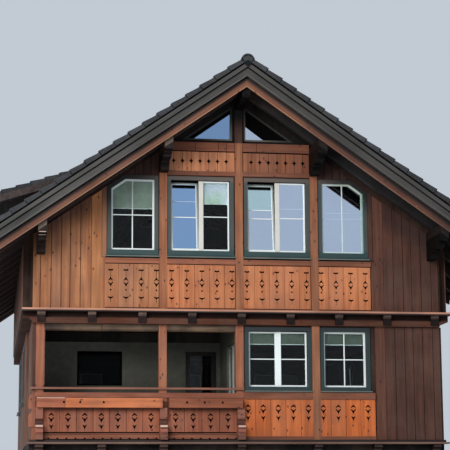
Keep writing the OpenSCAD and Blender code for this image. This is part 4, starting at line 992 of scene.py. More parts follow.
def grid_faces(rows: int, columns: int, closed: bool = False) -> Array:
    """Quads of a grid of points.

    Args:
        rows: Points along the first parameter.
        columns: Points along the second parameter.
        closed: Whether the last row and column join the first ones.

    Returns:
        The quads, as indices into the grid read row by row.
    """
    r = np.arange(rows if closed else rows - 1)[:, None]
    c = np.arange(columns if closed else columns - 1)[None]
    r1, c1 = (r + 1) % rows, (c + 1) % columns
    quads = np.stack([r * columns + c, r1 * columns + c, r1 * columns + c1, r * columns + c1], axis=-1)
    return quads.reshape(-1, 4)


def shells(top: Array, under: Array, tones: Array) -> Shape:
    """Closed slabs between two grids of points.

    Args:
        top: Points of the upper sides, as part, row, column, XYZ.
        under: Points of the undersides, in the same order.
        tones: Own tone of each slab.

    Returns:
        The shape: upper grid, reversed lower grid, and a strip round the rim that joins them.
    """
    count, rows, columns = top.shape[:3]
    size = rows * columns
    upper = grid_faces(rows, columns)
    ids = np.arange(size).reshape(rows, columns)
    rim = np.concatenate([ids[0, :-1], ids[:-1, -1], ids[-1, :0:-1], ids[:0:-1, 0]])
    ahead = np.roll(rim, -1)
    strip = np.stack([rim, ahead, ahead + size, rim + size], axis=-1)
    faces = [np.concatenate([upper, upper[:, ::-1] + size, strip])]
    points = np.concatenate([top.reshape(count, size, 3), under.reshape(count, size, 3)], axis=1)
    one = Shape(points[0], faces, np.zeros(2 * size)).outward()
    faces = repeat_faces(one.faces, 2 * size, count)
    return Shape(points.reshape(-1, 3), faces, np.repeat(tones, 2 * size))


def clip(outline: Array, normal: Sequence[float], limit: float) -> Array:
    """Cuts a convex outline by a straight line.

    Args:
        outline: Corners in order.
        normal: Direction that is cut off.
        limit: Greatest allowed reach along that direction.

    Returns:
        The corners inside, with a new one wherever an edge crosses the line.
    """
    room = limit - outline @ np.asarray(normal)
    ahead, room_ahead = np.roll(outline, -1, axis=0), np.roll(room, -1)
    crosses = (room > 0) != (room_ahead > 0)
    share = np.where(crosses, room / np.where(crosses, room - room_ahead, 1.0), 0.0)
    met = outline + share[:, None] * (ahead - outline)
    return np.stack([outline, met], axis=1)[np.stack([room > 0, crosses], axis=1)]


def rectangle(u0: float, u1: float, z0: float, z1: float) -> Array:
    """Corners of a rectangle, anticlockwise."""
    return np.array([[u0, z0], [u1, z0], [u1, z1], [u0, z1]], float)


def circle(count: int) -> Array:
    """Points on a circle of radius one, as cosine and sine of even turns."""
    angle = np.arange(count) * 2 * math.pi / count
    return np.stack([np.cos(angle), np.sin(angle)], axis=-1)


def mitres(outline: Array) -> Array:
    """For each corner of an anticlockwise outline, the step that moves both its edges in by one unit.

    Args:
        outline: Corners as along and up.

    Returns:
        One step for each corner.
    """
    edge = np.roll(outline, -1, axis=0) - outline
    edge /= np.linalg.norm(edge, axis=1, keepdims=True)
    inward = np.stack([-edge[:, 1], edge[:, 0]], axis=1)
    pairs = np.stack([np.roll(inward, 1, axis=0), inward], axis=1)
    return np.linalg.solve(pairs, np.ones((len(outline), 2, 1)))[..., 0]


def carried_ring(outline: Array, profile: Array) -> Shape:
    """A closed profile carried round an outline with mitred corners.

    Args:
        outline: Corners of a convex outline, anticlockwise, as along and up.
        profile: Closed profile as inset from the outline and depth into the wall.

    Returns:
        The shape in along, depth and up: a corner moved by its mitre step times the inset.
    """
    steps = mitres(outline)
    flat = outline[:, None] + profile[None, :, :1] * steps[:, None]
    depth = np.broadcast_to(profile[None, :, 1], flat.shape[:2])
    points = np.stack([flat[..., 0], depth, flat[..., 1]], axis=-1)
    faces = [grid_faces(len(outline), len(profile), closed=True)]
    return Shape(points.reshape(-1, 3), faces, np.full(depth.size, MID_TONE)).outward()


def prism(outline: Array, near: float, far: float) -> Shape:
    """A flat slab with a convex outline.

    Args:
        outline: Corners as along and up.
        near: Depth of the front face.
        far: Depth of the back face.

    Returns:
        The shape in along, depth and up.
    """
    count = len(outline)
    points = np.array([[u, depth, z] for depth in (near, far) for u, z in outline])
    ring = np.arange(count)
    sides = np.stack([ring, np.roll(ring, -1), np.roll(ring, -1) + count, ring + count], axis=-1)
    faces = [ring[None], ring[None, ::-1] + count, sides[:, ::-1]]
    return Shape(points, faces, np.full(2 * count, MID_TONE)).outward()


def boards(rows: Array, tones: Array, rake: Array) -> Shape:
    """Upright boards on a wall's face, by their ends, feet and tops, tones and slopes of their tops."""
    return boxes(rows, -HOUSE.board_t, HOUSE.board_in, HOUSE.board_edge, tones, rake)


def linked(name: str, data: bpy.types.ID) -> bpy.types.Object:
    """A new object in the scene with the given data.

    Args:
        name: Name of the object.
        data: Its mesh, camera or lamp.

    Returns:
        The object.
    """
    item = bpy.data.objects.new(name, data)
    bpy.context.scene.collection.objects.link(item)
    return item


def make_piece(name: str, parts: Sequence[Shape], finishes: Finishes, key: str,
               replaces: Sequence[str] = (), smooth: bool = False) -> bpy.types.Object:
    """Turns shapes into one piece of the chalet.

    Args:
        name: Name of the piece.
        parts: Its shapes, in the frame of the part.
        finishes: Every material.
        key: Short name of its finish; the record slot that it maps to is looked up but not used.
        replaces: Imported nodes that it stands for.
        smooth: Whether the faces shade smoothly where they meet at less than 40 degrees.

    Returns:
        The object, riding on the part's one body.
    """
    shape = Shape.join(parts)
    mesh = bpy.data.meshes.new(name)
    faces = [row for face in shape.faces for row in face.tolist()]
    mesh.from_pydata(shape.points.tolist(), [], faces)
    tone = mesh.attributes.new("tone", "FLOAT", "POINT")
    tone.data.foreach_set("value", shape.tones.astype(np.float32))
    mesh.materials.append(finishes[key])
    if smooth:
        mesh.shade_smooth()
        mesh.set_sharp_from_angle(angle=math.radians(40.0))
    piece, slot = linked(name, mesh), finishes.slot(key)
    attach(piece, "root")
    if replaces:
        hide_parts(*replaces)
    LOG.info("%s: %d points, %d faces", name, len(shape.points), len(faces))
    return piece


class Wall(Enum):
    """A wall that pieces are set on: a point of its outer face, and its turn in quarter circles."""

    FRONT = (0.0, -5.0, 0)
    RIGHT = (4.0, 0.0, 1)
    BACK = (0.0, 5.0, 2)
    LEFT = (-4.0, 0.0, 3)
    ATTIC_RIGHT = (4.15, 0.0, 1)
    ATTIC_LEFT = (-4.15, 0.0, 3)
    LOGGIA_BACK = (0.0, -2.6, 0)
    LOGGIA_SIDE = (-0.03, 0.0, 3)
    CHEEK = (-3.95, 0.0, 3)
    DORMER_NEAR = (0.0, -0.4, 0)
    DORMER_FAR = (0.0, 2.8, 2)

    def put(self, points: Array) -> Array:
        """Places points that are given along the wall, into it and up, by a turn about Z and a shift.

        Args:
            points: Along, depth and up on the last axis.

        Returns:
            The points in the frame of the part.
        """
        x, y, quarter = self.value
        cos, sin = ((1, 0), (0, 1), (-1, 0), (0, -1))[quarter]
        along, depth = points[..., 0], points[..., 1]
        turned = x + along * cos - depth * sin, y + along * sin + depth * cos
        return np.stack([*turned, points[..., 2]], axis=-1)


def on_gables(shape: Shape) -> list[Shape]:
    """The shape set on the front and on the back."""
    return [shape.moved(wall.put) for wall in (Wall.FRONT, Wall.BACK)]


# Roof covering


@dataclass(frozen=True)
class Slope:
    """A tiled surface that falls from a line along Y."""

    side: int
    top_z: float
    pitch: float

    def put(self, down: Array, depth: Array, y: Array) -> Array:
        """Places points given down the slope, below its surface and along the roof.

        X is the run down the slope times the cosine less the depth times the sine, mirrored on the
        left; Z is the top height less the run times the sine and the depth times the cosine.

        Args:
            down: Runs down the slope.
            depth: Depths square to it.
            y: Places along the roof.

        Returns:
            The points in the frame of the part.
        """
        x = down * math.cos(self.pitch) - depth * math.sin(self.pitch)
        z = self.top_z - down * math.sin(self.pitch) - depth * math.cos(self.pitch)
        return np.stack(np.broadcast_arrays(self.side * x, y, z), axis=-1)


@dataclass(frozen=True)
class TileCover:
    """Interlocking clay tiles laid in courses on one slope."""

    slope: Slope
    first_nose: float
    gauge: float
    courses: int
    y_start: float
    y_end: float
    width: float = 0.3
    step: float = 0.038
    lap: float = 0.07
    roll: float = 0.020
    thickness: float = 0.017
    nose: float = 0.032
    side_gap: float = 0.004
    across: int = 9
    sharpness: float = 1.6
    curl: float = 0.012
    shift: float = 0.0025
    tilt: float = 0.0012
    seed: int = 7

    def depth(self, across: Array, down: Array) -> Array:
        """Depth of a tile's upper side: the fall of the tile, and two rolls across its width.

        The fall runs from the step at the upper end to nothing at the nose. The rolls are a cosine of
        two periods, raised to a power for narrow crests, and the nose rounds off in its last tenth.

        Args:
            across: Shares of the tile's width.
            down: Shares of its gauge, from the upper end.

        Returns:
            The depths below the slope.
        """
        crest = (0.5 + 0.5 * np.cos(4 * math.pi * (across - 0.5))) ** self.sharpness
        curl = self.curl * np.clip((down - 0.9) / 0.1, 0, 1) ** 2
        return self.step * (1 - down) + self.roll * (1 - crest) + curl

    def build(self, laid: Callable[[Array, Array], Array]) -> Shape:
        """Lays the tiles.

        Args:
            laid: Tells from the middles of the tiles, down the slope and along Y, which ones are laid.

        Returns:
            The shape of all tiles.
        """
        columns = round((self.y_end - self.y_start) / self.width)
        width = (self.y_end - self.y_start) / columns
        noses = self.first_nose + self.gauge * np.arange(self.courses)
        nose, start = np.meshgrid(noses, self.y_start + width * np.arange(columns), indexing="ij")
        nose, start = nose.ravel(), start.ravel()
        keep = laid(nose - self.gauge / 2, start + width / 2)
        nose, start = nose[keep], start[keep]
        rng = np.random.default_rng(self.seed)
        shift, tilt = (rng.normal(0, spread, len(nose)) for spread in (self.shift, self.tilt))
        u = np.linspace(0, 1, self.across)[None, None, :]
        start_v = -self.lap / self.gauge
        v = np.array([start_v, max(0.3, start_v + 0.05), 0.9, 1.0])[None, :, None]
        down = (nose + shift)[:, None, None] - self.gauge * (1 - v) + 0.0 * u
        y = start[:, None, None] + self.side_gap / 2 + (width - self.side_gap) * u + 0.0 * v
        top = self.depth(u, v) + (tilt[:, None, None] * v)
        under = top + self.thickness + (self.nose - self.thickness) * np.clip(v, 0, 1) ** 3
        return shells(self.slope.put(down, top, y), self.slope.put(down, under, y),
                      rng.uniform(0, 1, len(nose)))


@dataclass(frozen=True)
class VergeTiles:
    """Tiles with a turned-down side along the edge of a slope."""

    slope: Slope
    first_nose: float
    gauge: float
    courses: int
    y_edge: float
    inward: int
    cheek: float = 0.024
    foot: float = 0.113
    step: float = 0.038
    lap: float = 0.02
    nose: float = 0.992
    edge: float = 0.008
    curl: float = 0.010
    rise: float = 0.006
    seed: int = 11

    def build(self) -> Shape:
        """One chamfered cheek for each course, sheared so that its top follows the tile's fall.

        No point lies nearer to the ridge than its depth times the tangent of the pitch, which is X = 0.

        Returns:
            The shape of all cheeks of one edge.
        """
        rng = np.random.default_rng(self.seed)
        y = np.sort([self.y_edge, self.y_edge + self.inward * self.cheek])
        rows = np.tile([-self.lap / self.gauge, self.nose, 0.0, 1.0], (self.courses, 1))
        unit = boxes(rows, y[0], y[1], self.edge, rng.uniform(0, 1, self.courses))
        share, level = unit.points[:, 0], unit.points[:, 2]
        noses = self.first_nose + self.gauge * np.arange(self.courses) + rng.normal(0, 0.002, self.courses)
        top = self.step * (1 - share) + self.curl * np.clip((share - 0.9) / 0.1, 0, 1)
        foot = self.foot - self.rise * np.clip((share - 0.5) / 0.5, 0, 1)
        depth = top + (foot - top) * (1 - level)
        down = np.repeat(noses, len(BOX_CORNER)) - self.gauge * (1 - share)
        down = np.maximum(down, depth * math.tan(self.slope.pitch))
        return Shape(self.slope.put(down, depth, unit.points[:, 1]), unit.faces, unit.tones).outward()


@dataclass(frozen=True)
class RidgeCaps:
    """Round ridge tiles, each with a collar over the next one."""

    y_start: float = -6.3
    y_end: float = 6.3
    length: float = 0.4
    radius: float = 0.118
    collar: float = 0.012
    taper: float = 0.004
    lap: float = 0.002
    half_turn: float = 104.0
    drop: float = 0.138
    end_scale: float = 0.96
    end_point: tuple[tuple[float, float], ...] = ((-0.092, -0.055), (0.0, -0.128), (0.092, -0.055))
    wall: float = 0.016
    plate: float = 0.018
    inset: float = 0.0005
    seed: int = 5

    def build(self) -> Shape:
        """Half pipes that swell into a collar at their front end.

        The radius is the plain one plus the collar over the first seventh. The section turns through
        208 degrees.

        Returns:
            The shape of all pipes.
        """
        count = int((self.y_end - self.y_start) / self.length)
        pitch = (self.y_end - self.y_start) / count
        rng = np.random.default_rng(self.seed)
        turn = np.radians(np.linspace(-self.half_turn, self.half_turn, 17))[None, None, :]
        v = np.array([0.0, 0.02, 0.12, 0.16, 0.6, 1.0])[None, :, None]
        swell = np.where(v < 0.14, 1.0, 0.0) * np.where(v < 0.01, 0.6, 1.0)
        radius = self.radius + self.collar * swell - self.taper * v
        start = (self.y_start + pitch * np.arange(count))[:, None, None]
        y = np.clip(start + (pitch + self.lap) * v + 0.0 * turn, self.y_start, self.y_end)
        centre = HOUSE.apex - self.drop

        def pipe(r: Array) -> Array:
            """The points at those radii round the ridge's centre line."""
            x, z = r * np.sin(turn), centre + r * np.cos(turn)
            return np.stack(np.broadcast_arrays(x + 0 * y, y, z + 0 * y), axis=-1)

        return shells(pipe(radius), pipe(radius - self.wall), rng.uniform(0, 1, count))

    def ends(self) -> list[Shape]:
        """Slabs that close the pipe at both gables: half discs, drawn down to a point.

        Returns:
            One slab for each gable.
        """
        angle = np.radians(np.linspace(90, -90, 15))
        arc = self.end_scale * self.radius * np.stack([np.sin(angle), np.cos(angle)], axis=-1)
        plate = np.concatenate([arc, self.end_point]) + (0.0, HOUSE.apex - self.drop)
        return [prism(plate, y0, y0 + self.plate)
                for y0 in (self.y_start + self.inset, self.y_end - self.plate - self.inset)]


@dataclass(frozen=True)
class VergeShadowLines:
    """Dark strips in the joints between the verge's tiles and its stepped boards: painted shadow of the
    parts that stand out over them.

    Each joint is its upper and lower depth under the tile surface and its reach past the wall.
    """

    joints: tuple[tuple[float, float, float], ...] = (
        (0.106, 0.139, 1.2745), (0.205, 0.226, 1.2245), (0.343, 0.358, 1.1345))
    length: float = 5.215
    thickness: float = 0.01

    def build(self) -> list[Shape]:
        """Thin strips down both slopes of both gables, as sheared rectangles.

        Returns:
            The strips, in the frame of the part.
        """
        strips = []
        for upper, lower, reach in self.joints:
            for side in (-1, 1):
                run = np.array([0.0, 0.0, side * self.length, side * self.length])
                depth = np.array([upper, lower, lower, upper])
                outline = np.stack([run, HOUSE.roof_z(run, depth)], axis=-1)
                strips += on_gables(prism(outline, -reach, -reach + self.thickness))
        return strips


def everywhere(down: Array, y: Array) -> Array:
    """Tells that every tile is laid, whatever its place."""
    return np.ones(len(y), bool)


@dataclass(frozen=True)
class Dormer:
    """The shed dormer on the left-hand slope: its tiles and the boards of its cheeks."""

    start: float = 0.4
    pitch: float = math.radians(18.0)
    y0: float = -0.4
    y1: float = 2.8
    over: float = 0.35
    eave_x: float = 4.9
    clear: float = 0.35
    tuck: float = 0.1
    margin: float = 0.02
    board_span: tuple[float, float] = (-3.985, -0.80)
    boards_across: int = 16
    head_z: float = 8.293
    joint: float = 0.01
    least: float = 0.12
    seed: int = 21

    @property
    def rise(self) -> float:
        """Rise of the dormer's roof over a run of one."""
        return math.tan(self.pitch)

    @property
    def top_z(self) -> float:
        """Height of the dormer's surface over the middle of the house."""
        return HOUSE.apex - (HOUSE.rise - self.rise) * self.start

    def leaves_free(self, down: Array, y: Array) -> Array:
        """Which tiles of the main slope lie outside the dormer.

        Args:
            down: Runs down the slope to the tiles' middles.
            y: Their places along the roof.

        Returns:
            True for each tile that is laid.
        """
        x = down * math.cos(HOUSE.pitch)
        under = (x > self.start + self.clear) & (x < HOUSE.half_w - self.tuck)
        return ~(under & (y > self.y0 + self.tuck) & (y < self.y1 - self.tuck))

    def boards(self) -> list[Shape]:
        """Upright boards on both cheeks, their feet in the main roof and their heads under the dormer's.

        Each board is a box whose head rises with the dormer's pitch. The far cheek takes the same rows
        mirrored.

        Returns:
            The boards of the near cheek and of the far one.
        """
        lines = np.linspace(*self.board_span, self.boards_across + 1)
        left, right = lines[:-1], lines[1:]
        low = HOUSE.roof_z(left, 0.0) - self.margin
        high = self.head_z + self.rise * ((left + right) / 2 + HOUSE.half_w)
        free = high - low > self.least
        tones = np.random.default_rng(17).uniform(*TONES, len(low))
        made = []
        for wall, side in ((Wall.DORMER_NEAR, 1), (Wall.DORMER_FAR, -1)):
            ends = np.sort([side * left, side * right], axis=0)
            rows = np.stack([ends[0] + self.joint / 2, ends[1] - self.joint / 2, low, high], axis=-1)[free]
            rake = np.full(len(rows), side * self.rise)
            made.append(boards(rows, tones[free], rake).moved(wall.put))
        return made

    def build(self, finishes: Finishes, gauge: float) -> None:
        """Tiles the dormer and boards its cheeks.

        Args:
            finishes: Every material.
            gauge: Distance between two courses of the main roof.
        """
        make_piece("dormer_boards", self.boards(), finishes, "planks")
        slope = Slope(-1, self.top_z, self.pitch)
        run = self.eave_x / math.cos(self.pitch)
        sunk = TileCover.step / math.cos(self.pitch) - HOUSE.tile_t / math.cos(HOUSE.pitch)
        meets = self.start + sunk / (HOUSE.rise - self.rise)
        courses = int((run - meets / math.cos(self.pitch)) / gauge)
        laid = slope, run - courses * gauge, gauge, courses + 1
        edge = (self.y0 - self.over, self.y1 + self.over)
        cover = TileCover(*laid, edge[0] + self.margin, edge[1] - self.margin, seed=self.seed)
        make_piece("dormer_tile_courses", [cover.build(everywhere)], finishes, "tile", ["dormer_tiles"],
                   smooth=True)
        verges = [VergeTiles(*laid, y, inward).build() for y, inward in zip(edge, (1, -1))]
        make_piece("dormer_verge_tiles", verges, finishes, "tile")


@dataclass(frozen=True)
class RoofCover:
    """All tiles of the main roof, the dormer and the ridge."""

    first_nose: float = 0.17
    wanted_gauge: float = 0.33
    margin: float = 0.02
    dormer: Dormer = Dormer()

    def build(self, finishes: Finishes) -> None:
        """Makes the tile pieces and hides the solids that they stand for.

        Args:
            finishes: Every material.
        """
        run = (HOUSE.half_w + HOUSE.eave_over) / math.cos(HOUSE.pitch) - self.first_nose
        courses = round(run / self.wanted_gauge)
        gauge = run / courses
        ends = (HOUSE.front - HOUSE.gable_over, HOUSE.back + HOUSE.gable_over)
        span = (ends[0] + self.margin, ends[1] - self.margin)
        for side, name in ((1, "right"), (-1, "left")):
            slope = Slope(side, HOUSE.apex, HOUSE.pitch)
            laid = self.dormer.leaves_free if side < 0 else everywhere
            cover = TileCover(slope, self.first_nose + gauge, gauge, courses, *span, seed=7 + side)
            first = TileCover(slope, self.first_nose, gauge, 1, *span, lap=-0.2, seed=3 + side)
            make_piece(f"tile_courses_{name}", [cover.build(laid), first.build(everywhere)], finishes,
                       "tile", [f"roof_tiles_{name}"], smooth=True)
            verges = [VergeTiles(slope, self.first_nose, gauge, courses + 1, y, inward, seed=11 + inward)
                      for y, inward in zip(ends, (1, -1))]
            make_piece(f"verge_tiles_{name}", [verge.build() for verge in verges], finishes, "tile")
        caps = RidgeCaps(*ends)
        make_piece("ridge_caps", [caps.build()], finishes, "tile", ["ridge_tiles"], smooth=True)
        make_piece("ridge_ends", caps.ends(), finishes, "tile_end")
        make_piece("verge_shadow_lines", VergeShadowLines().build(), finishes, "gap")
        self.dormer.build(finishes, gauge)


# Windows


@dataclass(frozen=True)
class Joinery:
    """Sizes that all casements share: widths of their parts, and depths behind the window's face."""

    play: float = 0.010
    meeting: float = 0.03
    stile: float = 0.093
    stile_lap: float = 0.065
    single: float = 0.036
    leaning: float = 0.040
    member: float = 0.028
    bevel: float = 0.007
    frame_t: float = 0.045
    rebate: float = 0.008
    pane: tuple[float, float] = (0.020, 0.026)
    bar_half: float = 0.010
    bar: tuple[float, float] = (0.011, 0.034)
    upright_half: float = 0.011
    upright: tuple[float, float] = (0.009, 0.036)
    bar_edge: float = 0.004
    shade: float = 0.030
    cloth: float = 0.062
    cloth_t: float = 0.004
    seen_cloth: float = 0.0185
    hem: tuple[float, float] = (-0.010, 0.006)


JOINERY = Joinery()


@dataclass(frozen=True)
class Window:
    """One window: its place in a wall, its parts, and how far the blinds behind it are drawn."""

    wall: Wall
    along: float
    width: float
    sill: float
    head: float
    depth: float = 0.03
    sashes: int = 2
    raked: bool = False
    bar: Optional[float] = None
    upright: Optional[float] = None
    hems: tuple[float, ...] = ()
    cloths: tuple[str, ...] = ("blind", "blind")
    glass: tuple[str, ...] = ("clear", "clear")
    upper: str = ""
    bars: str = ""
    lean: float = 0.0
    paint: str = "white"
    stile: str = "white"

    def whole(self, play: float = 0.0) -> Array:
        """The window's rectangle, less some play all round."""
        left, right = self.along - self.width / 2, self.along + self.width / 2
        return rectangle(left + play, right - play, self.sill + play, self.head - play)

    def trimmed(self, shape: Array) -> Array:
        """Cuts an outline along the rake of the roof, if the window follows it.

        Args:
            shape: A convex outline as along and up.

        Returns:
            The part of it below the trim.
        """
        if not self.raked:
            return shape
        rise = math.copysign(HOUSE.rise, self.along)
        return clip(shape, (rise, 1.0), float(HOUSE.roof_z(0, HOUSE.trim_d + HOUSE.trim_w)))

    def cell(self, index: int) -> Array:
        """Outline of a sash; the one on the left ends where the wide stile of the other begins.

        Args:
            index: 0 for the sash on the left, 1 for the other.

        Returns:
            Corners as along and up.
        """
        if self.sashes == 1:
            return self.trimmed(self.whole())
        sash = self.whole(JOINERY.play)
        sash[[1, 2] if index == 0 else [0, 3], 0] = self.along - JOINERY.meeting
        return self.trimmed(sash)

    @staticmethod
    def ring(outline: Array, depth: float, member: float, thickness: float) -> Shape:
        """A frame with a bevelled inner edge, carried round an outline.

        Args:
            outline: Corners as along and up.
            depth: Depth of its face.
            member: Width of its members.
            thickness: From its face to its back.

        Returns:
            The shape in along, depth and up.
        """
        back = depth + thickness
        return carried_ring(outline, np.array([
            [0.0, depth], [member - JOINERY.bevel, depth], [member, depth + JOINERY.bevel],
            [member, back], [0.0, back]]))

    def sash(self, index: int) -> dict[str, list[Shape]]:
        """Frame, bars, pane, blind and hem of one sash, before it leans.

        Args:
            index: 0 for the sash on the left, 1 for the other.

        Returns:
            The shapes in along, depth and up, by short name of the finish.
        """
        parts: dict[str, list[Shape]] = {}

        def lay(key: str, rows: Sequence, depths: tuple[float, float], edge: float = 0.003) -> None:
            """Adds bars by their ends, foot and top, and their depths behind the window's face."""
            near, far = (self.depth + depth for depth in depths)
            parts.setdefault(key, []).append(boxes(rows, near, far, edge))

        outline = self.cell(index)
        pair, leans = self.sashes > 1, bool(self.lean) and index == 0
        member = (JOINERY.leaning if leans else JOINERY.member) if pair else JOINERY.single
        parts[self.paint] = [self.ring(outline, self.depth, member, JOINERY.frame_t)]
        x0, x1 = outline[:, 0].min(), outline[:, 0].max()
        if leans:
            top = self.head - JOINERY.play
            lay("shaded_white", ((x0 + 0.004, x1 - 0.004, top - JOINERY.shade, top + 0.001),
                                 (x1 - member + 0.010, x1 - 0.003, self.sill + 0.05, top - JOINERY.shade)),
                (-0.004, 0.03))
            # A black band under the leaned sash's top rail: painted shadow.
            lay("gap", (x0 + member - 0.010, x1 - member + 0.008, top - 0.064, top - 0.028), (-0.002, 0.03))
        if pair and index == 1:
            lay(self.stile, (x0, x0 + JOINERY.stile, self.sill + 0.006, self.head - 0.006), (-0.006, 0.04))
            x0 += JOINERY.stile_lap
        pane = outline + (member - JOINERY.rebate) * mitres(outline)
        near, far = (self.depth + depth for depth in JOINERY.pane)
        halved = bool(self.upper) and index == 0
        lower = clip(pane, (0.0, 1.0), self.hems[index]) if halved else pane
        parts[self.glass[index]] = [prism(lower, near, far)]
        if halved:
            parts[self.upper] = [prism(clip(pane, (0.0, -1.0), -self.hems[index]), near, far)]
        if self.bar:
            low, high = self.bar - JOINERY.bar_half, self.bar + JOINERY.bar_half
            lay(self.bars or self.paint, (x0 + member - 0.004, x1 - member + 0.004, low, high),
                JOINERY.bar, JOINERY.bar_edge)
        if self.upright is not None:
            middle = self.along + self.upright
            foot = (pane[(pane[:, 0] > middle) == (self.along > 0)] if self.raked else pane)[:, 1].min()
            top = min(self.head, float(HOUSE.roof_z(middle, HOUSE.trim_d + HOUSE.trim_w))) - member
            lay(self.paint, (middle - JOINERY.upright_half, middle + JOINERY.upright_half, foot, top),
                JOINERY.upright, JOINERY.bar_edge)
        if self.hems:
            hem, plain = self.hems[index], self.glass[index] == "clear"
            back = self.depth + JOINERY.cloth
            parts[self.cloths[index]] = [prism(clip(pane, (0.0, -1.0), -hem), back, back + JOINERY.cloth_t)]
            face = JOINERY.cloth if plain else JOINERY.seen_cloth
            # In front of mirror glass the hem takes the blue tint of painted sky reflection.
            lay("hem" if plain or halved else "sky_tinted_paint",
                (x0 + member, x1 - member, hem + JOINERY.hem[0], hem + JOINERY.hem[1]),
                (face - 0.006, face + 0.001))
        return parts

    def build(self) -> dict[str, list[Shape]]:
        """All parts of the window, set in its wall, by finish.

        Returns:
            The shapes in the frame of the part, by short name of the finish.
        """
        built: dict[str, list[Shape]] = {}
        for index in range(self.sashes):
            lean = math.tan(self.lean) if index == 0 else 0.0
            for key, shapes in self.sash(index).items():
                for shape in shapes:
                    shape.points[:, 1] += lean * (shape.points[:, 2] - self.sill)
                    built.setdefault(key, []).append(shape.moved(self.wall.put))
        if self.sashes > 1:
            joint = self.ring(self.trimmed(self.whole()), self.depth, JOINERY.play, 0.07)
            built["gap"] = [joint.moved(self.wall.put)]
        return built


@dataclass(frozen=True)
class GableLight:
    """Triangular light beside the centre post, with a dark sheet over its slope that paints the shade under
    the roof.

    The cover is the depth under the roof surface down to which the sheet reaches. The foot is the depth
    of the pane's face at its sill.
    """

    side: int
    glass: str
    cover: float
    foot: float = 0.078
    thickness: float = 0.006
    sheet: tuple[float, float] = (0.034, 0.040)
    lean: float = math.radians(5.0)
    inset: float = 0.03
    shift: float = 0.018
    sill: float = 3.37

    def build(self) -> tuple[Shape, Shape]:
        """Makes the light in along, depth and up.

        Returns:
            The pane, sheared by the tangent of the lean times the height over the sill, and the sheet.
        """
        corner = HOUSE.post_w / 2 + HOUSE.trim_w / 2 + self.inset + (self.shift if self.side < 0 else 0.0)
        sill = HOUSE.attic_z + self.sill + self.inset
        slope = np.array([self.side * HOUSE.rise, 1.0])
        ends = sorted((self.side * corner, self.side * HOUSE.half_w))
        outline = clip(rectangle(*ends, sill, HOUSE.apex), slope,
                       float(HOUSE.roof_z(0, HOUSE.trim_d + HOUSE.trim_w / 2 + self.inset)))
        edge = float(HOUSE.roof_z(0, self.cover))
        pane = prism(clip(outline, slope, edge), self.foot, self.foot + self.thickness)
        pane.points[:, 1] -= math.tan(self.lean) * (pane.points[:, 2] - sill)
        return pane, prism(clip(outline, -slope, -edge), *self.sheet)


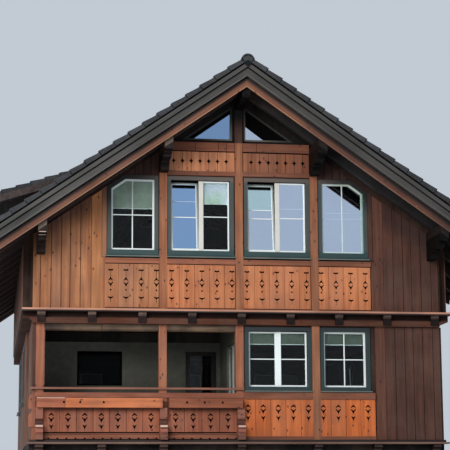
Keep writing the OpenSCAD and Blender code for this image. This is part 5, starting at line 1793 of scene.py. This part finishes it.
class Windows:
    """All windows of the chalet."""

    def __init__(self) -> None:
        """Lists the windows of each storey."""
        sides = [(Wall.LEFT, 0.7), (Wall.LEFT, -2.6), (Wall.RIGHT, -0.7), (Wall.RIGHT, 2.6)]
        backs = [(Wall.BACK, along) for along in (-2.5, 0.0, 2.5)]
        fronts = [(Wall.FRONT, along) for along in (-2.6, -0.9, 2.6)]
        attic = dict(sill=6.399, head=7.790, raked=True)
        leaning = dict(bar=7.079, lean=math.radians(7.5), stile="stile")
        self.attic = [
            Window(Wall.FRONT, -2.0689, 0.8377, **attic, sashes=1, bar=7.089, upright=-0.004,
                   hems=(7.224,)),
            # The blue and sky glasses paint the sky's reflection.
            Window(Wall.FRONT, -0.753, 1.158, **attic, **leaning, hems=(7.40, 7.345),
                   cloths=("blind", "voile"), glass=("blue_sky_reflection", "clear")),
            Window(Wall.FRONT, 0.753, 1.158, **attic, **leaning, hems=(7.256, 7.270), glass=("sky", "sky"),
                   upper="pale_sky"),
            # Its frame is white in painted shade, and its bars take the blue-tinted paint of the sky's
            # reflection.
            Window(Wall.FRONT, 2.0689, 0.8377, **attic, sashes=1, bar=7.087, upright=0.004, hems=(7.205,),
                   glass=("sky",), paint="white_in_shade", bars="sky_tinted_paint"),
        ] + [Window(Wall.BACK, side * 1.25, 1.15, **attic, bar=7.09, hems=(6.5, 6.5)) for side in (-1, 1)]
        self.dormer = [Window(Wall.LEFT, along, 1.1, 7.4026, 7.9626, hems=(7.46, 7.46))
                       for along in (-0.537, -1.863)]
        first = dict(sill=3.780, head=4.856, bar=4.319)
        # The first-floor front blinds take the darker cloth: painted shade under the beam.
        front = dict(depth=0.06, hems=(4.612, 4.612), cloths=("shaded_blind", "shaded_blind"))
        self.first = [
            Window(Wall.FRONT, 0.753, 1.158, **first, **front),
            Window(Wall.FRONT, 2.0689, 0.8377, **first, **front, sashes=1, upright=0.0),
            # Its frame near-black: painted shade deep in the loggia.
            Window(Wall.LOGGIA_BACK, -2.52, 0.92, 3.972, 4.677, sashes=1, paint="gap", glass=("dim",)),
            # Its grey frame is white paint in painted shade.
            Window(Wall.LOGGIA_SIDE, 4.05, 0.92, 3.65, 4.682, hems=(3.7, 3.7), paint="white_in_loggia_shade",
                   stile="white_in_loggia_shade"),
        ] + [Window(wall, along, 1.15, **first, hems=(3.86, 3.86)) for wall, along in sides + backs]
        ground = dict(sill=1.050, head=2.126, bar=1.60, depth=0.175, hems=(1.13, 1.13))
        self.ground = [Window(wall, along, 1.15, **ground) for wall, along in sides + backs + fronts]

    def build(self, finishes: Finishes) -> None:
        """Makes the frames of each storey, the panes of each kind of glass, the blinds and their hems.

        Args:
            finishes: Every material.
        """
        shared: dict[str, list[Shape]] = {}
        storeys = {"attic": self.attic + self.dormer, "first": self.first, "ground": self.ground}
        for name, windows in storeys.items():
            white: list[Shape] = []
            for key, shapes in (item for window in windows for item in window.build().items()):
                (white if key == "white" else shared.setdefault(key, [])).extend(shapes)
            make_piece(f"casements_{name}", white, finishes, "white", [f"window_frames_{name}"])
        for light in (GableLight(-1, "gable_sky_reflection", 0.630), GableLight(1, "sky", 0.828)):
            pane, sheet = light.build()
            shared.setdefault(light.glass, []).extend(on_gables(pane))
            # The dark sheets over the gable lights' slopes are painted shade.
            shared["gap"] += on_gables(sheet)
        door_pane = prism(rectangle(-0.66, -0.20, 2.87, 4.60), 0.05, 0.056)
        shared["clear"].append(door_pane.moved(Wall.LOGGIA_BACK.put))
        for key, shapes in shared.items():
            make_piece(f"window_{key}", shapes, finishes, key, ["window_panes"] if key == "clear" else [])


# Boarded walls


@dataclass(frozen=True)
class Cladding:
    """Upright boards on one wall, cut round its windows and under the roof."""

    wall: Wall
    edges: tuple[float, ...]
    foot: float
    top: float
    pitch: float = 0.2
    joints: tuple[float, ...] = ()
    under_roof: bool = False
    openings: tuple[tuple[float, float, float, float], ...] = ()
    clear: float = 0.006
    gap: float = 0.011
    least: float = 0.05
    seed: int = 1

    @classmethod
    def pierced(cls, wall: Wall, ends: tuple[float, float], foot: float, top: float,
                windows: Sequence[Window], margin: float = 0.04, **more: object) -> "Cladding":
        """Boards of a wall with windows in it.

        Args:
            wall: The wall.
            ends: Where its boards begin and end.
            foot: Their foot.
            top: Their top.
            windows: Windows, of which those in this wall count.
            margin: Half the width of a window's trim.
            **more: Other fields.

        Returns:
            The boards, with a joint at each side of every opening.
        """
        openings = tuple((w.along - (w.width / 2 + margin), w.along + (w.width / 2 + margin),
                          w.sill - margin, w.head + margin) for w in windows if w.wall is wall)
        edges = tuple(sorted({*ends, *(u for opening in openings for u in opening[:2])}))
        return cls(wall, edges, foot, top, openings=openings, **more)

    def lines(self) -> Array:
        """Joints between the boards: the given ones, or even steps between the edges.

        Returns:
            Their places along the wall, in order.
        """
        if self.joints:
            return np.array(self.joints)
        spans = [np.linspace(a, b, max(1, round((b - a) / self.pitch)) + 1)
                 for a, b in zip(self.edges, self.edges[1:])]
        return np.unique(np.round(np.concatenate(spans), 5))

    def build(self) -> Shape:
        """Boards as chamfered boxes: whole ones, and above and below each opening the rest of one.

        Returns:
            The shape of all boards, in the frame of the part.
        """
        lines = self.lines()
        middle = (lines[:-1] + lines[1:]) / 2
        none, foot, top = (np.full(len(middle), level) for level in (0.0, self.foot, self.top))
        slope = none
        if self.under_roof:
            rake = HOUSE.roof_z(middle, HOUSE.soffit_d) - self.clear
            slope = np.where(rake < self.top, -HOUSE.rise * np.sign(middle), 0.0)
            top = np.minimum(rake, self.top)
        tones = np.random.default_rng(self.seed).uniform(*TONES, len(middle))
        stretches, inside = [], np.zeros(len(middle), bool)
        for a, b, sill, head in self.openings:
            here = (middle > a) & (middle < b)
            inside |= here
            stretches += [(here, foot, none + sill, none), (here, none + head, top, slope)]
        stretches.append((~inside, foot, top, slope))
        made = []
        for here, low, high, rise in stretches:
            here = here & (high - low > self.least)
            if here.any():
                rows = np.stack([lines[:-1] + self.gap / 2, lines[1:] - self.gap / 2, low, high], axis=-1)
                made.append(boards(rows[here], tones[here], rise[here]))
        return Shape.join(made).moved(self.wall.put)


class BoardedWalls:
    """The boards on every timber wall."""

    def __init__(self, windows: Windows) -> None:
        """Lays out the boards round the windows.

        Args:
            windows: The windows, by storey.
        """
        joints = (2.8597, 3.068, 3.264, 3.432, 3.623, 3.827, 3.971)
        mirrored = tuple(-x for x in reversed(joints))
        foot, sill, beam, rail, trim_end, head, over = 5.238, 2.772, 4.955, 6.25, 2.566, 7.87, 9.0
        first_z, attic_z, ceiling = HOUSE.first_z, HOUSE.attic_z, HOUSE.ceiling_z
        raked = dict(under_roof=True)
        self.front = [
            Cladding(Wall.FRONT, (), foot, over, joints=mirrored, **raked, seed=3),
            Cladding(Wall.FRONT, (-HOUSE.jamb_x, -trim_end), rail, over, **raked, seed=4),
        ]
        self.front_shaded = [
            Cladding(Wall.FRONT, (), foot, over, joints=joints, **raked, seed=6),
            Cladding(Wall.FRONT, (trim_end, HOUSE.jamb_x), rail, over, **raked, seed=4),
            Cladding(Wall.FRONT, (), sill, beam, joints=joints, seed=7),
            Cladding(Wall.FRONT, (-2.5, -1.56), head, over, 0.17, **raked, seed=5),
            Cladding(Wall.FRONT, (1.56, 2.5), head, over, 0.17, **raked, seed=5),
        ]
        self.rest = [
            Cladding(Wall.ATTIC_LEFT, (-4.86, 4.86), attic_z, 6.50, seed=11),
            Cladding(Wall.ATTIC_RIGHT, (-4.86, 4.86), attic_z, 6.50, seed=11),
            Cladding.pierced(Wall.LEFT, (-4.86, 2.60), first_z, ceiling, windows.first, seed=12),
            Cladding.pierced(Wall.RIGHT, (-4.86, 4.86), first_z, ceiling, windows.first, seed=12),
            Cladding(Wall.CHEEK, (2.61, 4.83), first_z, ceiling, seed=15),
            Cladding(Wall.LOGGIA_BACK, (-4.016, -3.952), first_z, ceiling, gap=0.0, seed=18),
            Cladding.pierced(Wall.LEFT, (-2.8, 0.4), 7.20, 8.288, windows.dormer, seed=16),
            Cladding.pierced(Wall.BACK, (-3.99, 3.99), first_z, ceiling, windows.first, seed=13),
            Cladding.pierced(Wall.BACK, (-4.14, 4.14), attic_z, 8.52, windows.attic, **raked, seed=14),
        ]

    def build(self, finishes: Finishes) -> None:
        """Makes the boards of the front and of the other walls.

        Args:
            finishes: Every material.
        """
        for name, key, walls in (("front_boards", "planks", self.front),
                                 ("front_shaded_boards", "shaded_planks", self.front_shaded),
                                 ("side_boards", "side_planks", self.rest)):
            make_piece(name, [wall.build() for wall in walls], finishes, key)


BAYS = ((-2.60, -1.56), (-1.408, -0.076), (0.076, 1.408), (1.56, 2.60))


@dataclass(frozen=True)
class FrontDetails:
    """Joints, bolts and pale strips of the front, thin forms set on the faces of boards, rails and boxes.
    The dark lines under the rails and sills and the stars paint shadow; the pale strips paint highlight.

    A row is two ends along the front, a foot and a top. A face is its distance before the wall.
    """

    board_face: float = 0.052
    rail_face: float = 0.0715
    box_face: float = 0.231
    # Dark joints along the rails and aprons, darkened and widened as painted shadow.
    board_rows: tuple[tuple[float, float, float, float], ...] = (
        *((*bay, 6.116, 6.133) for bay in BAYS), *((*bay, 5.264, 5.280) for bay in BAYS),
        (-1.395, -0.078, 8.354, 8.374), (0.078, 1.395, 8.350, 8.374),
        (-3.735, -1.558, 2.894, 2.917), (-1.408, -0.076, 2.894, 2.917))
    star: tuple[float, float] = (0.036, 0.046)
    star_waist: float = 0.42
    star_z: float = 8.178
    bolt: tuple[float, float] = (0.019, 0.02185)
    bolt_z: float = 3.462
    bolt_face: float = 0.236
    bolt_t: float = 0.010
    bolt_xs: tuple[float, ...] = (-3.363, -3.060, -2.620, -1.049, -0.711, -0.368)

    @property
    def band_xs(self) -> Array:
        """Joints between the gable band's boards on the right of the centre post."""
        return 0.075 + HOUSE.band_pitch * np.arange(1, 8)

    @staticmethod
    def uprights(*joints: tuple[Sequence[float], float, float, float]) -> Array:
        """Rows for upright joints, each given by its places, half its width, its foot and its top.

        Args:
            *joints: Places along the front, half a width, a foot and a top.

        Returns:
            One row for each joint.
        """
        return np.concatenate([
            np.stack(np.broadcast_arrays(np.subtract(xs, half), np.add(xs, half), foot, top), axis=-1)
            for xs, half, foot, top in joints])

    def on_boards(self) -> Array:
        """Joints on the carved boards' faces: between the boards, and where the rails cast shade.

        Returns:
            One row for each joint.
        """
        inner = HOUSE.carved_pitch * np.array([1, 2, 3, 4, 6, 7, 8])
        return np.concatenate([np.array(self.board_rows), self.uprights(
            (-self.band_xs, 0.0032, 7.968, 8.364), (self.band_xs, 0.0032, 7.968, 8.364),
            ([-1.565, -0.081, 1.403, 2.598], 0.006, 5.266, 6.130),
            (np.linspace(-3.743, -1.556, 8)[1:-1], 0.0038, 2.918, 3.362),
            (np.linspace(-1.412, -0.072, 5)[1:-1], 0.0038, 2.918, 3.362),
            (np.concatenate([-inner, inner]), 0.0022, 5.27, 6.125), (inner, 0.0030, 2.838, 3.538))])

    def on_rails(self) -> Array:
        """Dark lines under the sills, which paint their shadow, and joints in the board over the gable band
        and beside the post through it.

        Returns:
            One row for each joint.
        """
        return np.concatenate([np.array([[*bay, 6.229, 6.246] for bay in BAYS]), self.uprights(
            ([-0.858, -0.397, -0.244, 0.351], 0.004, 8.376, 8.541),
            ([-0.079, 0.079], 0.0035, 7.966, 8.541))])

    @staticmethod
    def strips(rows: Sequence, face: float, thickness: float = 0.006) -> Shape:
        """Thin boxes over rows, as far before the wall as the face."""
        return boxes(rows, HOUSE.front - face, HOUSE.front - face + thickness, 0.001)

    def stars(self) -> list[Shape]:
        """Dark stars round the cut-outs of the gable band, outlines of eight points, that widen the dark of
        the holes: painted shade.

        Returns:
            One prism for each star.
        """
        reach = np.where(np.arange(8) % 2 == 0, 1.0, self.star_waist)
        star = reach[:, None] * self.star * circle(8)
        face = -self.board_face
        return [prism(star + (x, self.star_z), face, face + 0.006).moved(Wall.FRONT.put)
                for x in np.concatenate([-self.band_xs, self.band_xs])]

    def bolts(self) -> list[Shape]:
        """Round heads on the flower boxes, discs a little higher than wide.

        Returns:
            One prism for each bolt.
        """
        disc, face = self.bolt * circle(12), -self.bolt_face
        return [prism(disc + (x, self.bolt_z), face, face + self.bolt_t).moved(Wall.FRONT.put)
                for x in self.bolt_xs]

    def build(self, finishes: Finishes) -> None:
        """Makes the joints and painted shadow lines, the bolts, the pale strips of painted highlight, the
        blind's guide and the loggia's ceiling board.

        Args:
            finishes: Every material.
        """
        make_piece("front_joints_and_shadow_lines", [
            self.strips(self.on_boards(), self.board_face), self.strips(self.on_rails(), self.rail_face),
            self.strips((-3.342, -3.336, 3.365, 3.538), self.box_face), *self.stars()], finishes, "gap")
        make_piece("box_bolts", self.bolts(), finishes, "gap")
        # Pale strips on the lit faces of the brackets' blocks, the box's top edge and the eave purlin's and
        # corbel's ends: painted highlight.
        make_piece("painted_highlight_strips", [
            self.strips([(x - 0.069, x + 0.069, 2.998, 3.034) for x in (-3.815, -1.484, 0.0)], 0.243),
            self.strips((-3.862, -3.342, 3.532, 3.545), 0.234, 0.03),
            self.strips((-3.895, -3.765, 6.530, 6.545), 1.052),
            self.strips((-3.895, -3.765, 6.506, 6.518), 0.852)], finishes, "lath")
        guide = boxes((-3.738, -3.722, 3.79, 4.90), -4.99, -4.97, 0.002)
        make_piece("blind_guide", [guide], finishes, "brackets")
        ceiling = boxes((-3.86, -0.04, 4.862, HOUSE.ceiling_z), -2.64, -2.606, 0.002)
        make_piece("loggia_ceiling_board", [ceiling], finishes, "dark")


@dataclass(frozen=True)
class ShadeSheets:
    """Black sheets behind the pierced boards, painted shade so that the ornament reads dark.

    Each sheet is its ends along the front, its foot and its top.
    """

    sheets: tuple[tuple[float, float, float, float], ...] = (
        *((*bay, 5.24, 6.20) for bay in BAYS), (-1.395, -0.076, 7.96, 8.38), (0.076, 1.395, 7.96, 8.38),
        (-3.735, -1.56, 2.772, 3.545), (-1.408, -0.076, 2.772, 3.545),
        (0.076, 1.408, 2.84, 3.545), (1.56, 2.63, 2.84, 3.545))
    near: float = -0.024
    far: float = -0.002

    def build(self, finishes: Finishes) -> None:
        """Makes all sheets as one piece."""
        sheets = boxes(self.sheets, HOUSE.front + self.near, HOUSE.front + self.far, 0.001)
        make_piece("board_shade_sheets", [sheets], finishes, "gap")


# Studio


def stand(item: bpy.types.Object, spot: Sequence[float], axes: Array) -> bpy.types.Object:
    """Sets a camera or a lamp at a spot with its X, Y and Z axes as columns."""
    item.matrix_world = Matrix.Translation(spot) @ Matrix(axes.tolist()).to_4x4()
    return item


@dataclass(frozen=True)
class Camera:
    """The photographer's place, found by matching the part's own points to the photograph."""

    focal_px: float = 1580.1
    frame_px: float = 450.0
    sensor: float = 36.0
    far: float = 500.0
    yaw: float = -0.14862
    pitch: float = 0.17786
    roll: float = -0.0061
    spot: tuple[float, float, float] = (-4.7527, -34.9376, 1.478)

    def build(self) -> None:
        """Makes the camera; its axes come from yaw, then pitch, then roll."""
        cy, sy = math.cos(self.yaw), math.sin(self.yaw)
        cp, sp = math.cos(self.pitch), math.sin(self.pitch)
        right, ahead = np.array([cy, sy, 0.0]), np.array([-sy * cp, cy * cp, sp])
        above = np.cross(right, ahead)
        cr, sr = math.cos(self.roll), math.sin(self.roll)
        axes = np.stack([cr * right + sr * above, -sr * right + cr * above, -ahead], axis=1)
        data = bpy.data.cameras.new("camera")
        data.sensor_width, data.clip_end = self.sensor, self.far
        data.lens = self.focal_px * self.sensor / self.frame_px
        bpy.context.scene.camera = stand(linked("camera", data), self.spot, axes)


@dataclass(frozen=True)
class Studio:
    """Plain pale floor, an even pale surround and one large soft lamp."""

    surround: Shade = (194, 202, 212)
    floor_size: float = 160.0
    lamp_size: float = 16.0
    lamp_power: float = 7600.0
    lamp_spot: tuple[float, float, float] = (-15.0, -28.0, 13.0)
    lamp_aim: tuple[float, float, float] = (0.0, -5.0, 6.0)

    def build(self) -> None:
        """Makes the surround, the lamp and the floor."""
        world = bpy.data.worlds.new("surround")
        world.use_nodes = True
        world.node_tree.nodes["Background"].inputs["Color"].default_value = (*tint(self.surround), 1.0)
        bpy.context.scene.world = world
        data = bpy.data.lights.new("key", "AREA")
        data.shape, data.size, data.energy = "DISK", self.lamp_size, self.lamp_power
        aim = np.array(self.lamp_aim) - np.array(self.lamp_spot)
        back = -aim / np.linalg.norm(aim)
        side = np.cross((0.0, 0.0, 1.0), back)
        side /= np.linalg.norm(side)
        stand(linked("key", data), self.lamp_spot, np.stack([side, np.cross(back, side), back], axis=1))
        mesh = bpy.data.meshes.new("floor")
        half = self.floor_size / 2
        corners = [(-half, -half, 0), (half, -half, 0), (half, half, 0), (-half, half, 0)]
        mesh.from_pydata(corners, [], [(0, 1, 2, 3)])
        pale = Mineral("Pale floor", (214, 214, 212), (208, 208, 206), (204, 204, 200), 0.1)
        mesh.materials.append(pale.make())
        floor = linked("floor", mesh)
        floor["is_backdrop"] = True


def dress_nodes(finishes: Finishes) -> None:
    """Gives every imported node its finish.

    Args:
        finishes: Every material.

    Raises:
        ValueError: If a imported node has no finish.
    """
    sides, storeys = ("front", "back", "left", "right"), ("ground", "first", "attic")
    by_finish = {
        "concrete": ["ground_slab"],
        "render": [f"ground_{side}_wall" for side in sides],
        "wall": [*(f"{storey}_{side}_wall" for storey in storeys[1:] for side in sides),
                 "dormer_front_wall", "dormer_cheeks"],
        "door": ["entrance_door"], "dark": ["loggia_door"], "under": ["first_floor_deck"],
        "beam": ["front_beam", "attic_floor_deck"], "plaster": ["loggia_back_wall", "loggia_side_wall"],
        "posts": ["facade_posts"], "loggia_posts": ["loggia_posts"], "boxes": ["flower_boxes"],
        "rails": ["parapet_rails"], "brackets": ["loggia_brackets"], "handrail": ["loggia_handrails"],
        "purlins": ["purlins", "purlin_corbels"], "joists": ["joist_heads"], "ledge": ["ledges"],
        "awning": ["loggia_blinds"], "carved": ["attic_carved_boards"], "band": ["gable_carved_boards"],
        "low_carved": ["loggia_carved_boards"], "cheek": ["loggia_cheek"],
        "right_carved": ["first_carved_boards"], "white": [f"window_frames_{storey}" for storey in storeys],
        "green": ["window_trims"], "metal": ["window_sills"], "clear": ["window_panes"],
        "soffit": ["roof_deck_left", "roof_deck_right", "dormer_roof", "eave_fascias"],
        "rafters": ["rafters"], "barge": ["barge_boards"], "verge": ["verge_boards"],
        "tile": ["roof_tiles_left", "roof_tiles_right", "ridge_tiles", "dormer_tiles"],
    }
    finish_of = {name: key for key, names in by_finish.items() for name in names}
    missing = set(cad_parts) - set(finish_of)
    if missing:
        raise ValueError(f"nodes without a finish: {sorted(missing)}")
    for name, key in finish_of.items():
        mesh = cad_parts[name].data
        mesh.materials.clear()
        mesh.materials.append(finishes[key])
    LOG.info("dressed %d nodes", len(finish_of))


def main() -> None:
    """Builds the studio and dresses the chalet."""
    logging.basicConfig(level=logging.INFO, format="%(name)s: %(message)s")
    bpy.context.scene.view_settings.view_transform = "Standard"
    Camera().build()
    Studio().build()
    finishes = Finishes()
    dress_nodes(finishes)
    RoofCover().build(finishes)
    windows = Windows()
    windows.build(finishes)
    BoardedWalls(windows).build(finishes)
    ShadeSheets().build(finishes)
    FrontDetails().build(finishes)
    boxes = {"cad": cad_box, "visual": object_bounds()}
    {key: [list(corner) for corner in box] for key, box in boxes.items()}


if __name__ == "__main__":
    main()
